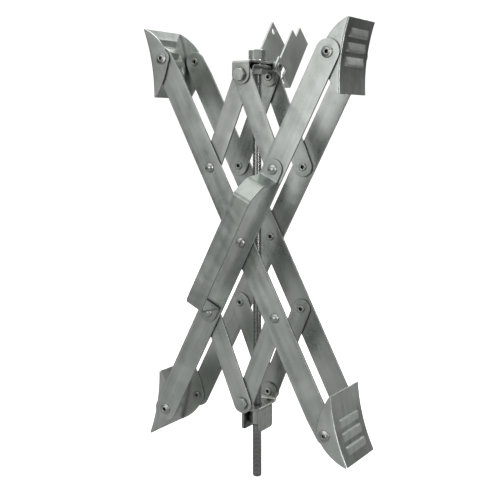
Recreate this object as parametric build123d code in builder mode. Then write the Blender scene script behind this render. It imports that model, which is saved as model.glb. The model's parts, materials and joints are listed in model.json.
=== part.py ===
"""Scissor wheel stabiliser: two crossed pairs of straps, four links and a lead screw.

Millimetres, +Z up.  X runs from tyre to tyre, Y across the straps (front is -Y).
The origin is where the centre pivot's axis crosses the lead screw's axis.
"""

import os
from math import asin, cos, degrees, radians, sin, sqrt

from build123d import *

# ---------------------------------------------------------------- driving dimensions
HALF_DEPTH = 42.0  # centre plane to the outermost strap's outer face
SHEET = 3.0  # thickness of every strap, link and bracket
LAYER_PITCH = 3.2  # one strap and its running gap
ARM_ANGLE = 27.0  # arm to vertical, in the pose as stored
ARM_REACH = 260.0  # centre pivot to pad pivot
ARM_WIDTH = 31.5
INNER_END_RADIUS = 13.6  # of the arms that end inside their pads
INNER_END_TAPER = 26.0  # length over which those ends narrow
LINK_REACH = 104.0  # centre pivot to a link's rivet
LINK_LENGTH = 125.0
LINK_WIDTH = 25.4
SLACK = 1.2  # radial play of the two pivots that each pair of links shares
RIVET_RADIUS = 4.0
RIVET_PLAY = 0.06
DOME_RADIUS = 6.4
DOME_HEIGHT = 4.6
DOME_ARC = 52.0  # degrees from the crown to the point that shapes the dome
HEAD_BEVEL = 0.3  # of a flat head's height
TAIL_RADIUS = 5.2
TAIL_LENGTH = 2.0
TAIL_FLARE = (0.6, 0.5)  # bevel at a tail's end, across and along
TUBE_RADIUS = 2.0
TUBE_DEPTH = 5.0

BOLT_RADIUS = 5.0
BOLT_HEAD_FLATS = 14.5
BOLT_HEAD_HEIGHT = 6.0
BOLT_COLLAR = (0.2, 0.8)  # round step under a head: its inset and its height
BOLT_CHAMFER = 0.9

PAD_RIVET_HEAD = 7.4
PAD_RIVET_HEIGHT = 2.8
PAD_LENGTH = 89.0
PAD_OFFSET = -2.0  # pad's middle from its pivot, towards the pad's inner end
PAD_FACE = 17.2  # pivot to the pad's outer face
PAD_CURVE = 235.0  # radius of the tyre face
PAD_SHEET = 2.5
PAD_BEND = 1.9
EAR_DEPTH = 11.0  # how far a pad's ear reaches past its pivot
EAR_SHOULDER = (26.0, 1.5)  # a point on the ear's sloping side
RIB_PITCH = 17.0
RIB_MIDDLE = 8.5
RIB_LENGTH = 58.0
RIB_WIDTH = 11.0
RIB_RISE = 3.0
RIB_STEP = 1.0  # run of a rib's steep side, which faces the pad's inner end
RIB_SHIFT = 1.6
RIB_ROOT = 0.4  # how far a rib's foot sinks into the sheet

GRIP_WIDTH = 25.0
GRIP_BEND = 4.0
GRIP_OUTLINE = (  # along the arm, out from the strap's face
    (90.5, 0.0),
    (86.5, 31.0),
    (69.0, 47.0),
    (-87.5, 47.0),
    (-91.5, 0.0),
)

BRACKET_WIDTH = 24.0
BRACKET_BLANK = 60.0  # length of the blank that a bracket is cut from
CAP_TOP = 18.0  # cap's top face above the upper pivot
SADDLE_TOP = 13.0  # saddle's outer face past its pivot
CAP_BEND = 4.0
SADDLE_BEND = 6.0
EAR_SPAN = 34.0  # nut ears, front to back
EAR_REACH = 42.0  # pivot to the ears' ends
EAR_CORNER = 5.0
EAR_BEND = 2.6
EAR_FLANK = 12.3  # centre plane to the middle of an ear's sheet

SCREW_RADIUS = 6.0
SCREW_END = -316.0
SCREW_HOLE = 6.6
SCREW_PLAY = 0.05
SCREW_CHAMFER = 1.2
NUT_FLATS = 19.0
NUT_CORNER = NUT_FLATS / sqrt(3)
NUT_BEVEL = 1.4
DRIVE_HEAD_HEIGHT = 12.0
DRIVE_NUT_HEIGHT = 22.0
RETAINING_NUT_HEIGHT = 8.0
WASHER_RADIUS = 12.0
HEAD_WASHER = 2.4
AXIAL_PLAY = 0.1

HINGE_Y = 24.0
HINGE_RISE = 12.0  # cover hinge above the upper pivot
HINGE_EAR_RADIUS = 7.5
HINGE_RIVET_RADIUS = 3.0
HINGE_RIVET_HEAD = 5.6
HINGE_RIVET_HEIGHT = 1.6
HINGE_RIVET_BEVEL = (0.6, 0.8)
HINGE_RIVET_TAIL = 0.6
HINGE_RIVET_BORE = 3.0
WING_REACH = 16.2  # centre plane to the hinge ears' outer faces
WING_BEND = 2.0
COVER_SHEET = 2.6
COVER_GAP = 0.2
COVER_LEAN = 40.0  # from vertical, as stored
COVER_LENGTH = 79.0
COVER_WIDTH = 40.0
COVER_LIP = 4.0  # sheet in front of the hinge line
COVER_LUG = 8.0
COVER_HEEL = 15.9
COVER_STEP = 11.0
COVER_TIE_START = 21.0
COVER_TIE_RELIEF = (33.4, 13.6)  # cut-out round the rear pivot: how far, and half its width
NOTCH_LENGTH = 17.0
NOTCH_DEPTH = 13.0
LOCK_HOLE_RADIUS = 4.0
LOCK_HOLE_INSET = (8.5, 9.3)

# ---------------------------------------------------------------- worked-out positions
ARM_X = sin(radians(ARM_ANGLE))
ARM_Z = cos(radians(ARM_ANGLE))
LINK_ANGLE = degrees(asin(LINK_REACH * ARM_X / LINK_LENGTH))
PIVOT_Z = LINK_REACH * ARM_Z + sqrt(LINK_LENGTH**2 - (LINK_REACH * ARM_X) ** 2)
RIVET_HOLE = RIVET_RADIUS + RIVET_PLAY
BOLT_HOLE = BOLT_RADIUS + RIVET_PLAY
CAP_UNDER = PIVOT_Z + CAP_TOP - SHEET
SADDLE_Z = PIVOT_Z + SADDLE_TOP

FRONT, REAR = 1, -1
SIDES = {"front": FRONT, "rear": REAR}
Y_AXIS = (0, 1, 0)

os.makedirs("parts", exist_ok=True)


def save(piece, name):
    """Label a finished piece and write it to its own STEP file."""
    piece.part.label = name
    export_step(piece.part, f"parts/{name}.step")


def outer_face(layer):
    """Distance from the centre plane to a layer's outer face; layer 1 is outermost."""
    return HALF_DEPTH - (layer - 1) * LAYER_PITCH


def layer_plane(side, layer):
    """Plane facing the front, on the rearmost face of one layer of sheet."""
    depth = outer_face(layer)
    return Plane.XZ.offset(depth - SHEET if side == FRONT else -depth)


def arm_plane(side, layer, lean):
    """A layer's plane turned so that its x runs up an arm that leans by that angle."""
    tilt = radians(lean)
    origin = layer_plane(side, layer).origin
    return Plane(origin=origin, x_dir=(sin(tilt), 0, cos(tilt)), z_dir=(0, -1, 0))


# ---------------------------------------------------------------- arms
def outer_arm(side):
    """Arm with full round ends, outside its pads."""
    with BuildPart() as arm:
        with BuildSketch(arm_plane(side, 1, ARM_ANGLE)):
            SlotCenterToCenter(2 * ARM_REACH, ARM_WIDTH)
            with Locations((0, 0), (LINK_REACH, 0), (-LINK_REACH, 0), (ARM_REACH, 0), (-ARM_REACH, 0)):
                Circle(RIVET_HOLE, mode=Mode.SUBTRACT)
        extrude(amount=SHEET)
    return arm


def inner_arm(side):
    """Arm whose ends narrow to fit between a pad's ears."""
    half = ARM_WIDTH / 2
    shoulder = ARM_REACH - INNER_END_TAPER
    with BuildPart() as arm:
        with BuildSketch(arm_plane(side, 2, -ARM_ANGLE)):
            Rectangle(2 * shoulder, ARM_WIDTH)
            for end in (1, -1):
                with BuildLine():
                    Polyline(
                        (end * shoulder, half),
                        (end * ARM_REACH, INNER_END_RADIUS),
                        (end * ARM_REACH, -INNER_END_RADIUS),
                        (end * shoulder, -half),
                        close=True,
                    )
                make_face()
            with Locations((ARM_REACH, 0), (-ARM_REACH, 0)):
                Circle(INNER_END_RADIUS)
            with Locations((0, 0), (LINK_REACH, 0), (-LINK_REACH, 0), (ARM_REACH, 0), (-ARM_REACH, 0)):
                Circle(RIVET_HOLE, mode=Mode.SUBTRACT)
        extrude(amount=SHEET)
    return arm


for side_name, side in SIDES.items():
    save(outer_arm(side), f"{side_name}_arm_a")
    save(inner_arm(side), f"{side_name}_arm_b")


# ---------------------------------------------------------------- links
def link(side, layer, right, up, pivot_hole):
    """Link from an arm's rivet to the bracket's pivot on the screw axis."""
    mid_x = right * LINK_REACH * ARM_X / 2
    mid_z = up * (LINK_REACH * ARM_Z + PIVOT_Z) / 2
    half = LINK_LENGTH / 2
    turn = 90 + right * up * LINK_ANGLE
    to_pivot = up * half
    with BuildPart() as strap:
        with BuildSketch(layer_plane(side, layer)):
            with Locations(Location((mid_x, mid_z), turn)):
                SlotCenterToCenter(LINK_LENGTH, LINK_WIDTH)
            with Locations(Location((mid_x, mid_z), turn)):
                with Locations((to_pivot, 0)):
                    Circle(pivot_hole, mode=Mode.SUBTRACT)
                with Locations((-to_pivot, 0)):
                    Circle(RIVET_HOLE, mode=Mode.SUBTRACT)
        extrude(amount=SHEET)
    return strap


for side_name, side in SIDES.items():
    save(link(side, 2, 1, 1, BOLT_HOLE), f"{side_name}_link_upper_right")
    save(link(side, 3, -1, 1, BOLT_RADIUS + SLACK), f"{side_name}_link_upper_left")
    save(link(side, 3, 1, -1, BOLT_HOLE), f"{side_name}_link_lower_right")
    save(link(side, 2, -1, -1, BOLT_RADIUS + SLACK), f"{side_name}_link_lower_left")


# ---------------------------------------------------------------- rivets and pivot bolts
def turned_fastener(spot, side, outer, inner, head, shank=RIVET_RADIUS, domed=True):
    """Rivet about a front-to-back axis: head outside, drilled and flared tail inside.

    The head is given as its radius and its height.
    """
    x, z = spot
    radius, height = head
    flare, flare_length = TAIL_FLARE
    face, under, tail = -side * outer, -side * inner, -side * (inner - TAIL_LENGTH)
    crown = -side * (outer + height)
    bore_end = tail - side * TUBE_DEPTH
    bevel = HEAD_BEVEL * height
    arc = radians(DOME_ARC)
    with BuildPart() as fastener:
        with BuildSketch(Plane(origin=(x, 0, z), x_dir=(1, 0, 0), z_dir=(0, 0, 1))):
            with BuildLine():
                if domed:
                    bow = (radius * sin(arc), face + (crown - face) * cos(arc))
                    ThreePointArc((0, crown), bow, (radius, face))
                else:
                    rim = (radius, crown + side * bevel)
                    Polyline((0, crown), (radius - bevel, crown), rim, (radius, face))
                Polyline(
                    (radius, face),
                    (shank, face),
                    (shank, under),
                    (TAIL_RADIUS, under),
                    (TAIL_RADIUS, tail - side * flare_length),
                    (TAIL_RADIUS - flare, tail),
                    (TUBE_RADIUS, tail),
                    (TUBE_RADIUS, bore_end),
                    (0, bore_end),
                    (0, crown),
                )
            make_face()
        revolve(axis=Axis((x, 0, z), Y_AXIS))
    return fastener.part


def rivet_group(spots, outer, inner):
    """Domed rivets at several spots, in the front and the rear of the frame."""
    dome = (DOME_RADIUS, DOME_HEIGHT)
    rivets = [
        turned_fastener(spot, side, outer[side], inner, dome) for spot in spots for side in (FRONT, REAR)
    ]
    with BuildPart() as group:
        add(rivets)
    return group


ARM_A_LINKS = [(LINK_REACH * ARM_X, LINK_REACH * ARM_Z), (-LINK_REACH * ARM_X, -LINK_REACH * ARM_Z)]
ARM_B_LINKS = [(-x, z) for x, z in ARM_A_LINKS]
ARM_A_PADS = [(ARM_REACH * ARM_X, ARM_REACH * ARM_Z), (-ARM_REACH * ARM_X, -ARM_REACH * ARM_Z)]
ARM_B_PADS = [(-x, z) for x, z in ARM_A_PADS]
INNER_2 = outer_face(2) - SHEET
INNER_3 = outer_face(3) - SHEET
INNER_4 = outer_face(4) - SHEET

save(rivet_group([(0, 0)], {FRONT: HALF_DEPTH, REAR: HALF_DEPTH}, INNER_2), "centre_rivets")
save(
    rivet_group(ARM_A_LINKS, {FRONT: HALF_DEPTH + SHEET, REAR: HALF_DEPTH}, INNER_2),
    "arm_a_link_rivets",
)
save(rivet_group(ARM_B_LINKS, {FRONT: outer_face(2), REAR: outer_face(2)}, INNER_3), "arm_b_link_rivets")


def pad_rivets(spots):
    """Flat-headed tubular rivets that carry two pads, open right through."""
    head = (PAD_RIVET_HEAD, PAD_RIVET_HEIGHT)
    crown = HALF_DEPTH + PAD_RIVET_HEIGHT
    rivets = [
        turned_fastener(spot, side, HALF_DEPTH, INNER_2, head, domed=False)
        for spot in spots
        for side in (FRONT, REAR)
    ]
    with BuildPart() as group:
        add(rivets)
        with BuildSketch(Plane.XZ.offset(-crown)):
            with Locations(*spots):
                Circle(TUBE_RADIUS)
        extrude(amount=2 * crown, mode=Mode.SUBTRACT)
    return group


save(pad_rivets(ARM_A_PADS), "arm_a_pad_rivets")
save(pad_rivets(ARM_B_PADS), "arm_b_pad_rivets")


def pivot_bolts(z, outer):
    """Short hex-headed pivots, front and rear, that stop short of the screw."""
    inset, step = BOLT_COLLAR
    collar = (BOLT_HEAD_FLATS / 2 - inset, step)
    hexagon_height = BOLT_HEAD_HEIGHT - step
    shanks = [
        turned_fastener((0, z), side, outer, INNER_4, collar, shank=BOLT_RADIUS, domed=False)
        for side in (FRONT, REAR)
    ]
    with BuildPart() as pair:
        add(shanks)
        for side in (FRONT, REAR):
            start = outer + step if side == FRONT else -outer - BOLT_HEAD_HEIGHT
            with BuildSketch(Plane.XZ.offset(start)):
                with Locations((0, z)):
                    RegularPolygon(BOLT_HEAD_FLATS / 2, 6, major_radius=False)
            head = extrude(amount=hexagon_height)
            rim = head.faces().sort_by(Axis.Y)[0 if side == FRONT else -1]
            chamfer(rim.edges(), length=BOLT_CHAMFER)
    return pair


save(pivot_bolts(PIVOT_Z, HALF_DEPTH), "upper_pivot_bolts")
save(pivot_bolts(-PIVOT_Z, outer_face(2)), "lower_pivot_bolts")


# ---------------------------------------------------------------- grab handle
def grab_handle():
    """One bent strip that bridges the front arm, riveted under the two link rivets."""
    face = HALF_DEPTH + SHEET / 2
    end = LINK_REACH + GRIP_WIDTH / 2
    bend = Plane(origin=(0, -face, 0), x_dir=(ARM_X, 0, ARM_Z), z_dir=(ARM_Z, 0, -ARM_X))
    flip = 1 if bend.y_dir.Y < 0 else -1
    outline = [(along, flip * out) for along, out in GRIP_OUTLINE]
    with BuildPart() as handle:
        with BuildLine(bend) as route:
            FilletPolyline((end, 0), *outline, (-end, 0), radius=GRIP_BEND)
        start = Plane(origin=route.line @ 0, x_dir=(ARM_Z, 0, -ARM_X), z_dir=route.line % 0)
        with BuildSketch(start):
            Rectangle(GRIP_WIDTH, SHEET)
        sweep()
        with BuildSketch(Plane(origin=(0, 0, 0), x_dir=(ARM_X, 0, ARM_Z), z_dir=(0, -1, 0))):
            SlotCenterToCenter(2 * LINK_REACH, GRIP_WIDTH)
            with Locations((LINK_REACH, 0), (-LINK_REACH, 0)):
                Circle(RIVET_HOLE, mode=Mode.SUBTRACT)
        extrude(amount=3 * HALF_DEPTH, mode=Mode.INTERSECT)
    return handle


save(grab_handle(), "grab_handle")


# ---------------------------------------------------------------- pads
def pad(x, z, right, up, lean, half_width):
    """Formed tyre pad: curved face with three pressed ribs, and an ear at each side."""
    along = (right * sin(radians(lean)), 0, up * cos(radians(lean)))
    frame = Plane(origin=(x, 0, z), x_dir=along, z_dir=(0, right * up, 0))
    inner, outer = PAD_OFFSET - PAD_LENGTH / 2, PAD_OFFSET + PAD_LENGTH / 2
    middle = (inner + outer) / 2

    def face_at(a, base=PAD_FACE):
        """Height of the curved face over the pivot at a distance along the pad."""
        return base + PAD_CURVE - sqrt(PAD_CURVE**2 - (a - middle) ** 2)

    def ear_outline():
        """Ear's edge: up into the face's sheet, with two slopes and a round nose."""
        a, b = EAR_SHOULDER
        nose = EAR_DEPTH * sin(radians(45))
        edge = PAD_FACE - (PAD_SHEET + PAD_BEND) / 2
        low_tip, high_tip = (inner, face_at(inner, edge)), (outer, face_at(outer, edge))
        ThreePointArc(low_tip, (middle, edge), high_tip)
        ThreePointArc(high_tip, (a, b), (nose, -nose))
        ThreePointArc((nose, -nose), (0, -EAR_DEPTH), (-nose, -nose))
        ThreePointArc((-nose, -nose), (-a, b), low_tip)

    with BuildPart() as piece:
        with BuildSketch(frame):
            with BuildLine():
                under = PAD_FACE - PAD_SHEET
                low_under, high_under = (inner, face_at(inner, under)), (outer, face_at(outer, under))
                low_face, high_face = (inner, face_at(inner)), (outer, face_at(outer))
                Line(low_face, low_under)
                ThreePointArc(low_under, (middle, under), high_under)
                Line(high_under, high_face)
                ThreePointArc(high_face, (middle, PAD_FACE), low_face)
            make_face()
        extrude(amount=half_width, both=True)
        long_edges = [
            e
            for e in piece.edges().filter_by(GeomType.CIRCLE)
            if frame.to_local_coords(e @ 0.5).Y > PAD_FACE - PAD_SHEET / 2
        ]
        fillet(long_edges, PAD_BEND)
        for offset_y in (-half_width, half_width - SHEET):
            with BuildSketch(frame.offset(offset_y)):
                with BuildLine():
                    ear_outline()
                make_face()
                Circle(RIVET_HOLE, mode=Mode.SUBTRACT)
            extrude(amount=SHEET)
        for place in (-1, 0, 1):
            a = RIB_MIDDLE + place * RIB_PITCH
            half = RIB_WIDTH / 2
            reach = RIB_LENGTH / 2
            for shift, drop, amount, mode in (
                (0, 0, reach, Mode.ADD),
                (RIB_SHIFT, PAD_SHEET, reach - PAD_SHEET, Mode.SUBTRACT),
            ):
                base = face_at(a) - drop
                with BuildSketch(frame):
                    with BuildLine():
                        Polyline(
                            (a - half + shift, base - RIB_ROOT),
                            (a - half + RIB_STEP + shift, base + RIB_RISE),
                            (a + half + shift, base - RIB_ROOT),
                            close=True,
                        )
                    make_face()
                extrude(amount=amount, both=True, mode=mode)
    return piece


INSIDE = HALF_DEPTH - LAYER_PITCH  # half width of a pad that sits between the outer arms
OUTSIDE = HALF_DEPTH  # half width of a pad that straddles the inner arms
PADS = {  # right, up, lean from vertical, half width
    "pad_upper_right": (1, 1, 7.5, INSIDE),
    "pad_lower_left": (-1, -1, 10.5, INSIDE),
    "pad_upper_left": (-1, 1, 10.0, OUTSIDE),
    "pad_lower_right": (1, -1, 15.0, OUTSIDE),
}
for pad_name, (right, up, lean, half_width) in PADS.items():
    pivot_x, pivot_z = right * ARM_REACH * ARM_X, up * ARM_REACH * ARM_Z
    save(pad(pivot_x, pivot_z, right, up, lean, half_width), pad_name)


# ---------------------------------------------------------------- upper bracket
def round_ended(pivot_z, away):
    """Outline of a bracket seen from the front: round about its pivot, square at the top."""
    far = pivot_z + away * BRACKET_BLANK
    with Locations((0, pivot_z)):
        Circle(BRACKET_WIDTH / 2)
    with Locations((0, (pivot_z + far) / 2)):
        Rectangle(BRACKET_WIDTH, abs(far - pivot_z))
    with Locations((0, pivot_z)):
        Circle(BOLT_HOLE, mode=Mode.SUBTRACT)


def bent_bracket(pivot_z, away, outer, rise, bend):
    """U of sheet across the frame: two legs on the pivots and a web beyond them."""
    web = pivot_z + away * (rise - SHEET / 2)
    foot = pivot_z - away * BRACKET_WIDTH / 2
    flank = outer - SHEET / 2
    with BuildPart() as shape:
        with BuildLine(Plane.YZ) as route:
            FilletPolyline((-flank, foot), (-flank, web), (flank, web), (flank, foot), radius=bend)
        with BuildSketch(Plane(origin=route.line @ 0, x_dir=(1, 0, 0), z_dir=route.line % 0)):
            Rectangle(BRACKET_WIDTH, SHEET)
        sweep()
        with BuildSketch(Plane.XZ):
            round_ended(pivot_z, away)
        extrude(amount=2 * HALF_DEPTH, both=True, mode=Mode.INTERSECT)
        with BuildSketch(Plane.XY.offset(web)):
            Circle(SCREW_HOLE)
        extrude(amount=SHEET, both=True, mode=Mode.SUBTRACT)
    return shape.part


HINGE_Z = PIVOT_Z + HINGE_RISE

cap_strip = bent_bracket(PIVOT_Z, 1, HALF_DEPTH, CAP_TOP, CAP_BEND)

with BuildPart() as outer_cap:
    add(cap_strip)
    with BuildSketch(Plane.XY.offset(CAP_UNDER)):
        with Locations((0, HINGE_Y)):
            Rectangle(2 * WING_REACH, 2 * HINGE_EAR_RADIUS)
    extrude(amount=SHEET)
    for flank in (-WING_REACH, WING_REACH - SHEET):
        with BuildSketch(Plane.YZ.offset(flank)):
            with Locations((HINGE_Y, HINGE_Z)):
                Circle(HINGE_EAR_RADIUS)
            with Locations((HINGE_Y, (HINGE_Z + PIVOT_Z + CAP_TOP) / 2)):
                Rectangle(2 * HINGE_EAR_RADIUS, PIVOT_Z + CAP_TOP - HINGE_Z)
            with Locations((HINGE_Y, HINGE_Z)):
                Circle(HINGE_RIVET_RADIUS + RIVET_PLAY, mode=Mode.SUBTRACT)
        extrude(amount=SHEET)
    wing_bends = [
        e
        for e in outer_cap.edges().filter_by(Axis.Y)
        if abs(abs(e.center().X) - WING_REACH) < 0.01 and e.center().Z > CAP_UNDER
    ]
    fillet(wing_bends, WING_BEND)
save(outer_cap, "outer_cap")

upper_strip = bent_bracket(PIVOT_Z, 1, outer_face(4), SADDLE_TOP, SADDLE_BEND)

with BuildPart() as upper_saddle:
    add(upper_strip)
save(upper_saddle, "upper_saddle")

with BuildPart() as thrust_washer:
    with BuildSketch(Plane.XY.offset(SADDLE_Z)):
        Circle(WASHER_RADIUS - 0.5)
        Circle(SCREW_HOLE, mode=Mode.SUBTRACT)
    extrude(amount=CAP_UNDER - SADDLE_Z)
save(thrust_washer, "thrust_washer")


# ---------------------------------------------------------------- lower bracket
lower_strip = bent_bracket(-PIVOT_Z, -1, outer_face(4), SADDLE_TOP, SADDLE_BEND)
web_z = -(PIVOT_Z + SADDLE_TOP - SHEET / 2)
ear_end = -(PIVOT_Z + EAR_REACH)
ear_points = [(-EAR_FLANK, ear_end), (-EAR_FLANK, web_z), (EAR_FLANK, web_z), (EAR_FLANK, ear_end)]

with BuildPart() as lower_saddle:
    add(lower_strip)
    with BuildLine(Plane.XZ) as ear_route:
        FilletPolyline(*ear_points, radius=EAR_BEND)
    with BuildSketch(Plane(origin=ear_route.line @ 0, x_dir=Y_AXIS, z_dir=ear_route.line % 0)):
        Rectangle(EAR_SPAN, SHEET)
    sweep()
    corners = [
        e
        for e in lower_saddle.edges().filter_by(Axis.X)
        if abs(e.center().Z - ear_end) < 0.01 and abs(abs(e.center().Y) - EAR_SPAN / 2) < 0.01
    ]
    fillet(corners, EAR_CORNER)
    with BuildSketch(Plane.XY.offset(web_z)):
        Circle(SCREW_HOLE)
    extrude(amount=SHEET, both=True, mode=Mode.SUBTRACT)
save(lower_saddle, "lower_saddle")


# ---------------------------------------------------------------- screw and nuts
def hexagon_block(bottom, height, bore):
    """Chamfered hexagon with flats facing left and right."""
    top = bottom + height
    with BuildPart() as block:
        with BuildSketch(Plane.XZ):
            with BuildLine():
                Polyline(
                    (bore, bottom),
                    (NUT_CORNER - NUT_BEVEL, bottom),
                    (NUT_CORNER, bottom + NUT_BEVEL / 2),
                    (NUT_CORNER, top - NUT_BEVEL / 2),
                    (NUT_CORNER - NUT_BEVEL, top),
                    (bore, top),
                    close=True,
                )
            make_face()
        revolve(axis=Axis.Z)
        with BuildSketch(Plane.XY.offset(bottom)):
            RegularPolygon(NUT_FLATS / 2, 6, major_radius=False, rotation=30)
        extrude(amount=height, mode=Mode.INTERSECT)
    return block


HEAD_Z = PIVOT_Z + CAP_TOP + AXIAL_PLAY + HEAD_WASHER

with BuildPart() as lead_screw:
    with BuildSketch(Plane.XY.offset(SCREW_END)):
        Circle(SCREW_RADIUS)
    extrude(amount=HEAD_Z + DRIVE_HEAD_HEIGHT - SCREW_END)
    chamfer(lead_screw.edges().filter_by(GeomType.CIRCLE), length=SCREW_CHAMFER)
save(lead_screw, "lead_screw")

save(hexagon_block(HEAD_Z, DRIVE_HEAD_HEIGHT, SCREW_RADIUS), "drive_head")

with BuildPart() as head_washer:
    with BuildSketch(Plane.XY.offset(HEAD_Z - HEAD_WASHER)):
        Circle(WASHER_RADIUS)
        Circle(SCREW_RADIUS, mode=Mode.SUBTRACT)
    extrude(amount=HEAD_WASHER)
save(head_washer, "head_washer")

RETAINING_NUT_Z = SADDLE_Z - SHEET - AXIAL_PLAY - RETAINING_NUT_HEIGHT
DRIVE_NUT_Z = -SADDLE_Z - DRIVE_NUT_HEIGHT
save(hexagon_block(RETAINING_NUT_Z, RETAINING_NUT_HEIGHT, SCREW_RADIUS), "retaining_nut")
save(hexagon_block(DRIVE_NUT_Z, DRIVE_NUT_HEIGHT, SCREW_RADIUS + SCREW_PLAY), "drive_nut")


# ---------------------------------------------------------------- lock cover
def cover_plate(plane, notched):
    """One side of the cover: x along its length from the hinge, y away from the lip."""
    length, width = COVER_LENGTH, COVER_WIDTH
    with BuildPart() as side_plate:
        with BuildSketch(plane):
            with Locations(((length + COVER_STEP) / 2, (width - COVER_LIP) / 2)):
                Rectangle(length - COVER_STEP, width + COVER_LIP)
            with Locations((COVER_STEP / 2, (width + COVER_HEEL) / 2)):
                Rectangle(COVER_STEP, width - COVER_HEEL)
            with Locations((COVER_STEP / 2, 0)):
                Rectangle(COVER_STEP, 2 * COVER_LUG)
            Circle(COVER_LUG)
            Circle(HINGE_RIVET_RADIUS + RIVET_PLAY, mode=Mode.SUBTRACT)
            if notched:
                with Locations((length - NOTCH_LENGTH / 2, NOTCH_DEPTH / 2 - COVER_LIP)):
                    Rectangle(NOTCH_LENGTH, NOTCH_DEPTH, mode=Mode.SUBTRACT)
            else:
                with Locations((length - LOCK_HOLE_INSET[0], LOCK_HOLE_INSET[1] - COVER_LIP)):
                    Circle(LOCK_HOLE_RADIUS, mode=Mode.SUBTRACT)
        extrude(amount=COVER_SHEET)
    return side_plate.part


lean = radians(COVER_LEAN)
COVER_ALONG = (0, sin(lean), cos(lean))
COVER_BACK = (0, cos(lean), -sin(lean))
COVER_INNER = WING_REACH + COVER_GAP

COVER_OUTER = COVER_INNER + COVER_SHEET
left_hinge = Plane(origin=(-COVER_INNER, HINGE_Y, HINGE_Z), x_dir=COVER_ALONG, z_dir=(-1, 0, 0))
right_hinge = Plane(origin=(COVER_OUTER, HINGE_Y, HINGE_Z), x_dir=COVER_ALONG, z_dir=(-1, 0, 0))
left_plate = cover_plate(left_hinge, notched=False)
right_plate = cover_plate(right_hinge, notched=True)

with BuildPart() as lock_cover:
    add([left_plate, right_plate])
    tie = Plane(origin=(0, HINGE_Y, HINGE_Z), x_dir=COVER_BACK, z_dir=COVER_ALONG)
    with BuildSketch(tie):
        with Locations(((COVER_TIE_START + COVER_WIDTH) / 2, 0)):
            Rectangle(COVER_WIDTH - COVER_TIE_START, 2 * COVER_OUTER)
        relief_end, relief_half = COVER_TIE_RELIEF
        with Locations((relief_end / 2, 0)):
            Rectangle(relief_end, 2 * relief_half, mode=Mode.SUBTRACT)
    extrude(amount=COVER_SHEET)
save(lock_cover, "lock_cover")

rim_across, rim_along = HINGE_RIVET_BEVEL
with BuildPart() as cover_hinge_rivets:
    for flank in (-1, 1):
        inside = flank * (WING_REACH - SHEET - HINGE_RIVET_TAIL)
        outside = flank * COVER_OUTER
        crown = flank * (COVER_OUTER + HINGE_RIVET_HEIGHT)
        with BuildSketch(Plane.XY.offset(HINGE_Z)):
            with BuildLine():
                Polyline(
                    (inside, HINGE_Y),
                    (inside, HINGE_Y + HINGE_RIVET_RADIUS),
                    (outside, HINGE_Y + HINGE_RIVET_RADIUS),
                    (outside, HINGE_Y + HINGE_RIVET_HEAD),
                    (crown - flank * rim_across, HINGE_Y + HINGE_RIVET_HEAD),
                    (crown, HINGE_Y + HINGE_RIVET_HEAD - rim_along),
                    (crown, HINGE_Y + TUBE_RADIUS),
                    (outside - flank * HINGE_RIVET_BORE, HINGE_Y + TUBE_RADIUS),
                    (outside - flank * HINGE_RIVET_BORE, HINGE_Y),
                    close=True,
                )
            make_face()
        revolve(axis=Axis((0, HINGE_Y, HINGE_Z), (1, 0, 0)))
save(cover_hinge_rivets, "cover_hinge_rivets")
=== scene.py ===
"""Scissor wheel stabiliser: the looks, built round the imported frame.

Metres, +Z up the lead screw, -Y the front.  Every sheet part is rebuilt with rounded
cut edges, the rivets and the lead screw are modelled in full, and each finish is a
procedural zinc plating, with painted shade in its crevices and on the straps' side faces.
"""

from __future__ import annotations

import json
import logging
import math
from dataclasses import dataclass, field
from enum import Enum
from typing import Callable, Sequence

import bmesh
import bpy
from mathutils import Matrix, Vector
from mathutils.bvhtree import BVHTree

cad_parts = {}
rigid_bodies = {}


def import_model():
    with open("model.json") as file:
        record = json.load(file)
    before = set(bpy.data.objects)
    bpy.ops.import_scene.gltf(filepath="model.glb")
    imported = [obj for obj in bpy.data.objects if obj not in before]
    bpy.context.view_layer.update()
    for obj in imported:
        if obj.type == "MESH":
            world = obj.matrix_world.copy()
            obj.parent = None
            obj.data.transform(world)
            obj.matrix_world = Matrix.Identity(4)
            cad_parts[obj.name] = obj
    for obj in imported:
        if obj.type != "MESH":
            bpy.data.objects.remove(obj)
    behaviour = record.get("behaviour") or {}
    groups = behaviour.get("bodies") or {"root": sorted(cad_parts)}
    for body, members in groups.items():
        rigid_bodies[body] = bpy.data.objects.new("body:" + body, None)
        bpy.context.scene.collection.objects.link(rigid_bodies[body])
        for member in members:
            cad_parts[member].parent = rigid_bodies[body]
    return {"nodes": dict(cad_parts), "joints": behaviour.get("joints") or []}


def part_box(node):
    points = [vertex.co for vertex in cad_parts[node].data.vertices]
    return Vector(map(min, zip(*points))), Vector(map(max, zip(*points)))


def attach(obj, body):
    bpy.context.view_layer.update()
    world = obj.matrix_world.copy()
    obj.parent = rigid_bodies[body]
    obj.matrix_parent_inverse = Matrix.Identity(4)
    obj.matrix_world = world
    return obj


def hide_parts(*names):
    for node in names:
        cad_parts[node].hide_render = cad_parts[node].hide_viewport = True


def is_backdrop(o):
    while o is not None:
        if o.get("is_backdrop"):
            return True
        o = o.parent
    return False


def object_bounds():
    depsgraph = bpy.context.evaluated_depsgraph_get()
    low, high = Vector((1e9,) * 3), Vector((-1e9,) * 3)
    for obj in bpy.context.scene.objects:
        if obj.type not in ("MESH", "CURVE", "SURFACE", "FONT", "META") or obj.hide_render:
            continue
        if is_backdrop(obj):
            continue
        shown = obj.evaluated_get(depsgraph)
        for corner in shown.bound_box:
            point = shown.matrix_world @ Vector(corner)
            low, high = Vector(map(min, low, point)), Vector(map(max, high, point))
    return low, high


LOG = logging.getLogger("wheel_stabiliser")
MM = 0.001
ON_AXIS = 1e-7
STRAY_SHARE = 0.45
FLAT_WEIGHT = 80
Point = tuple[float, float]
Colour = tuple[float, float, float]


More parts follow.
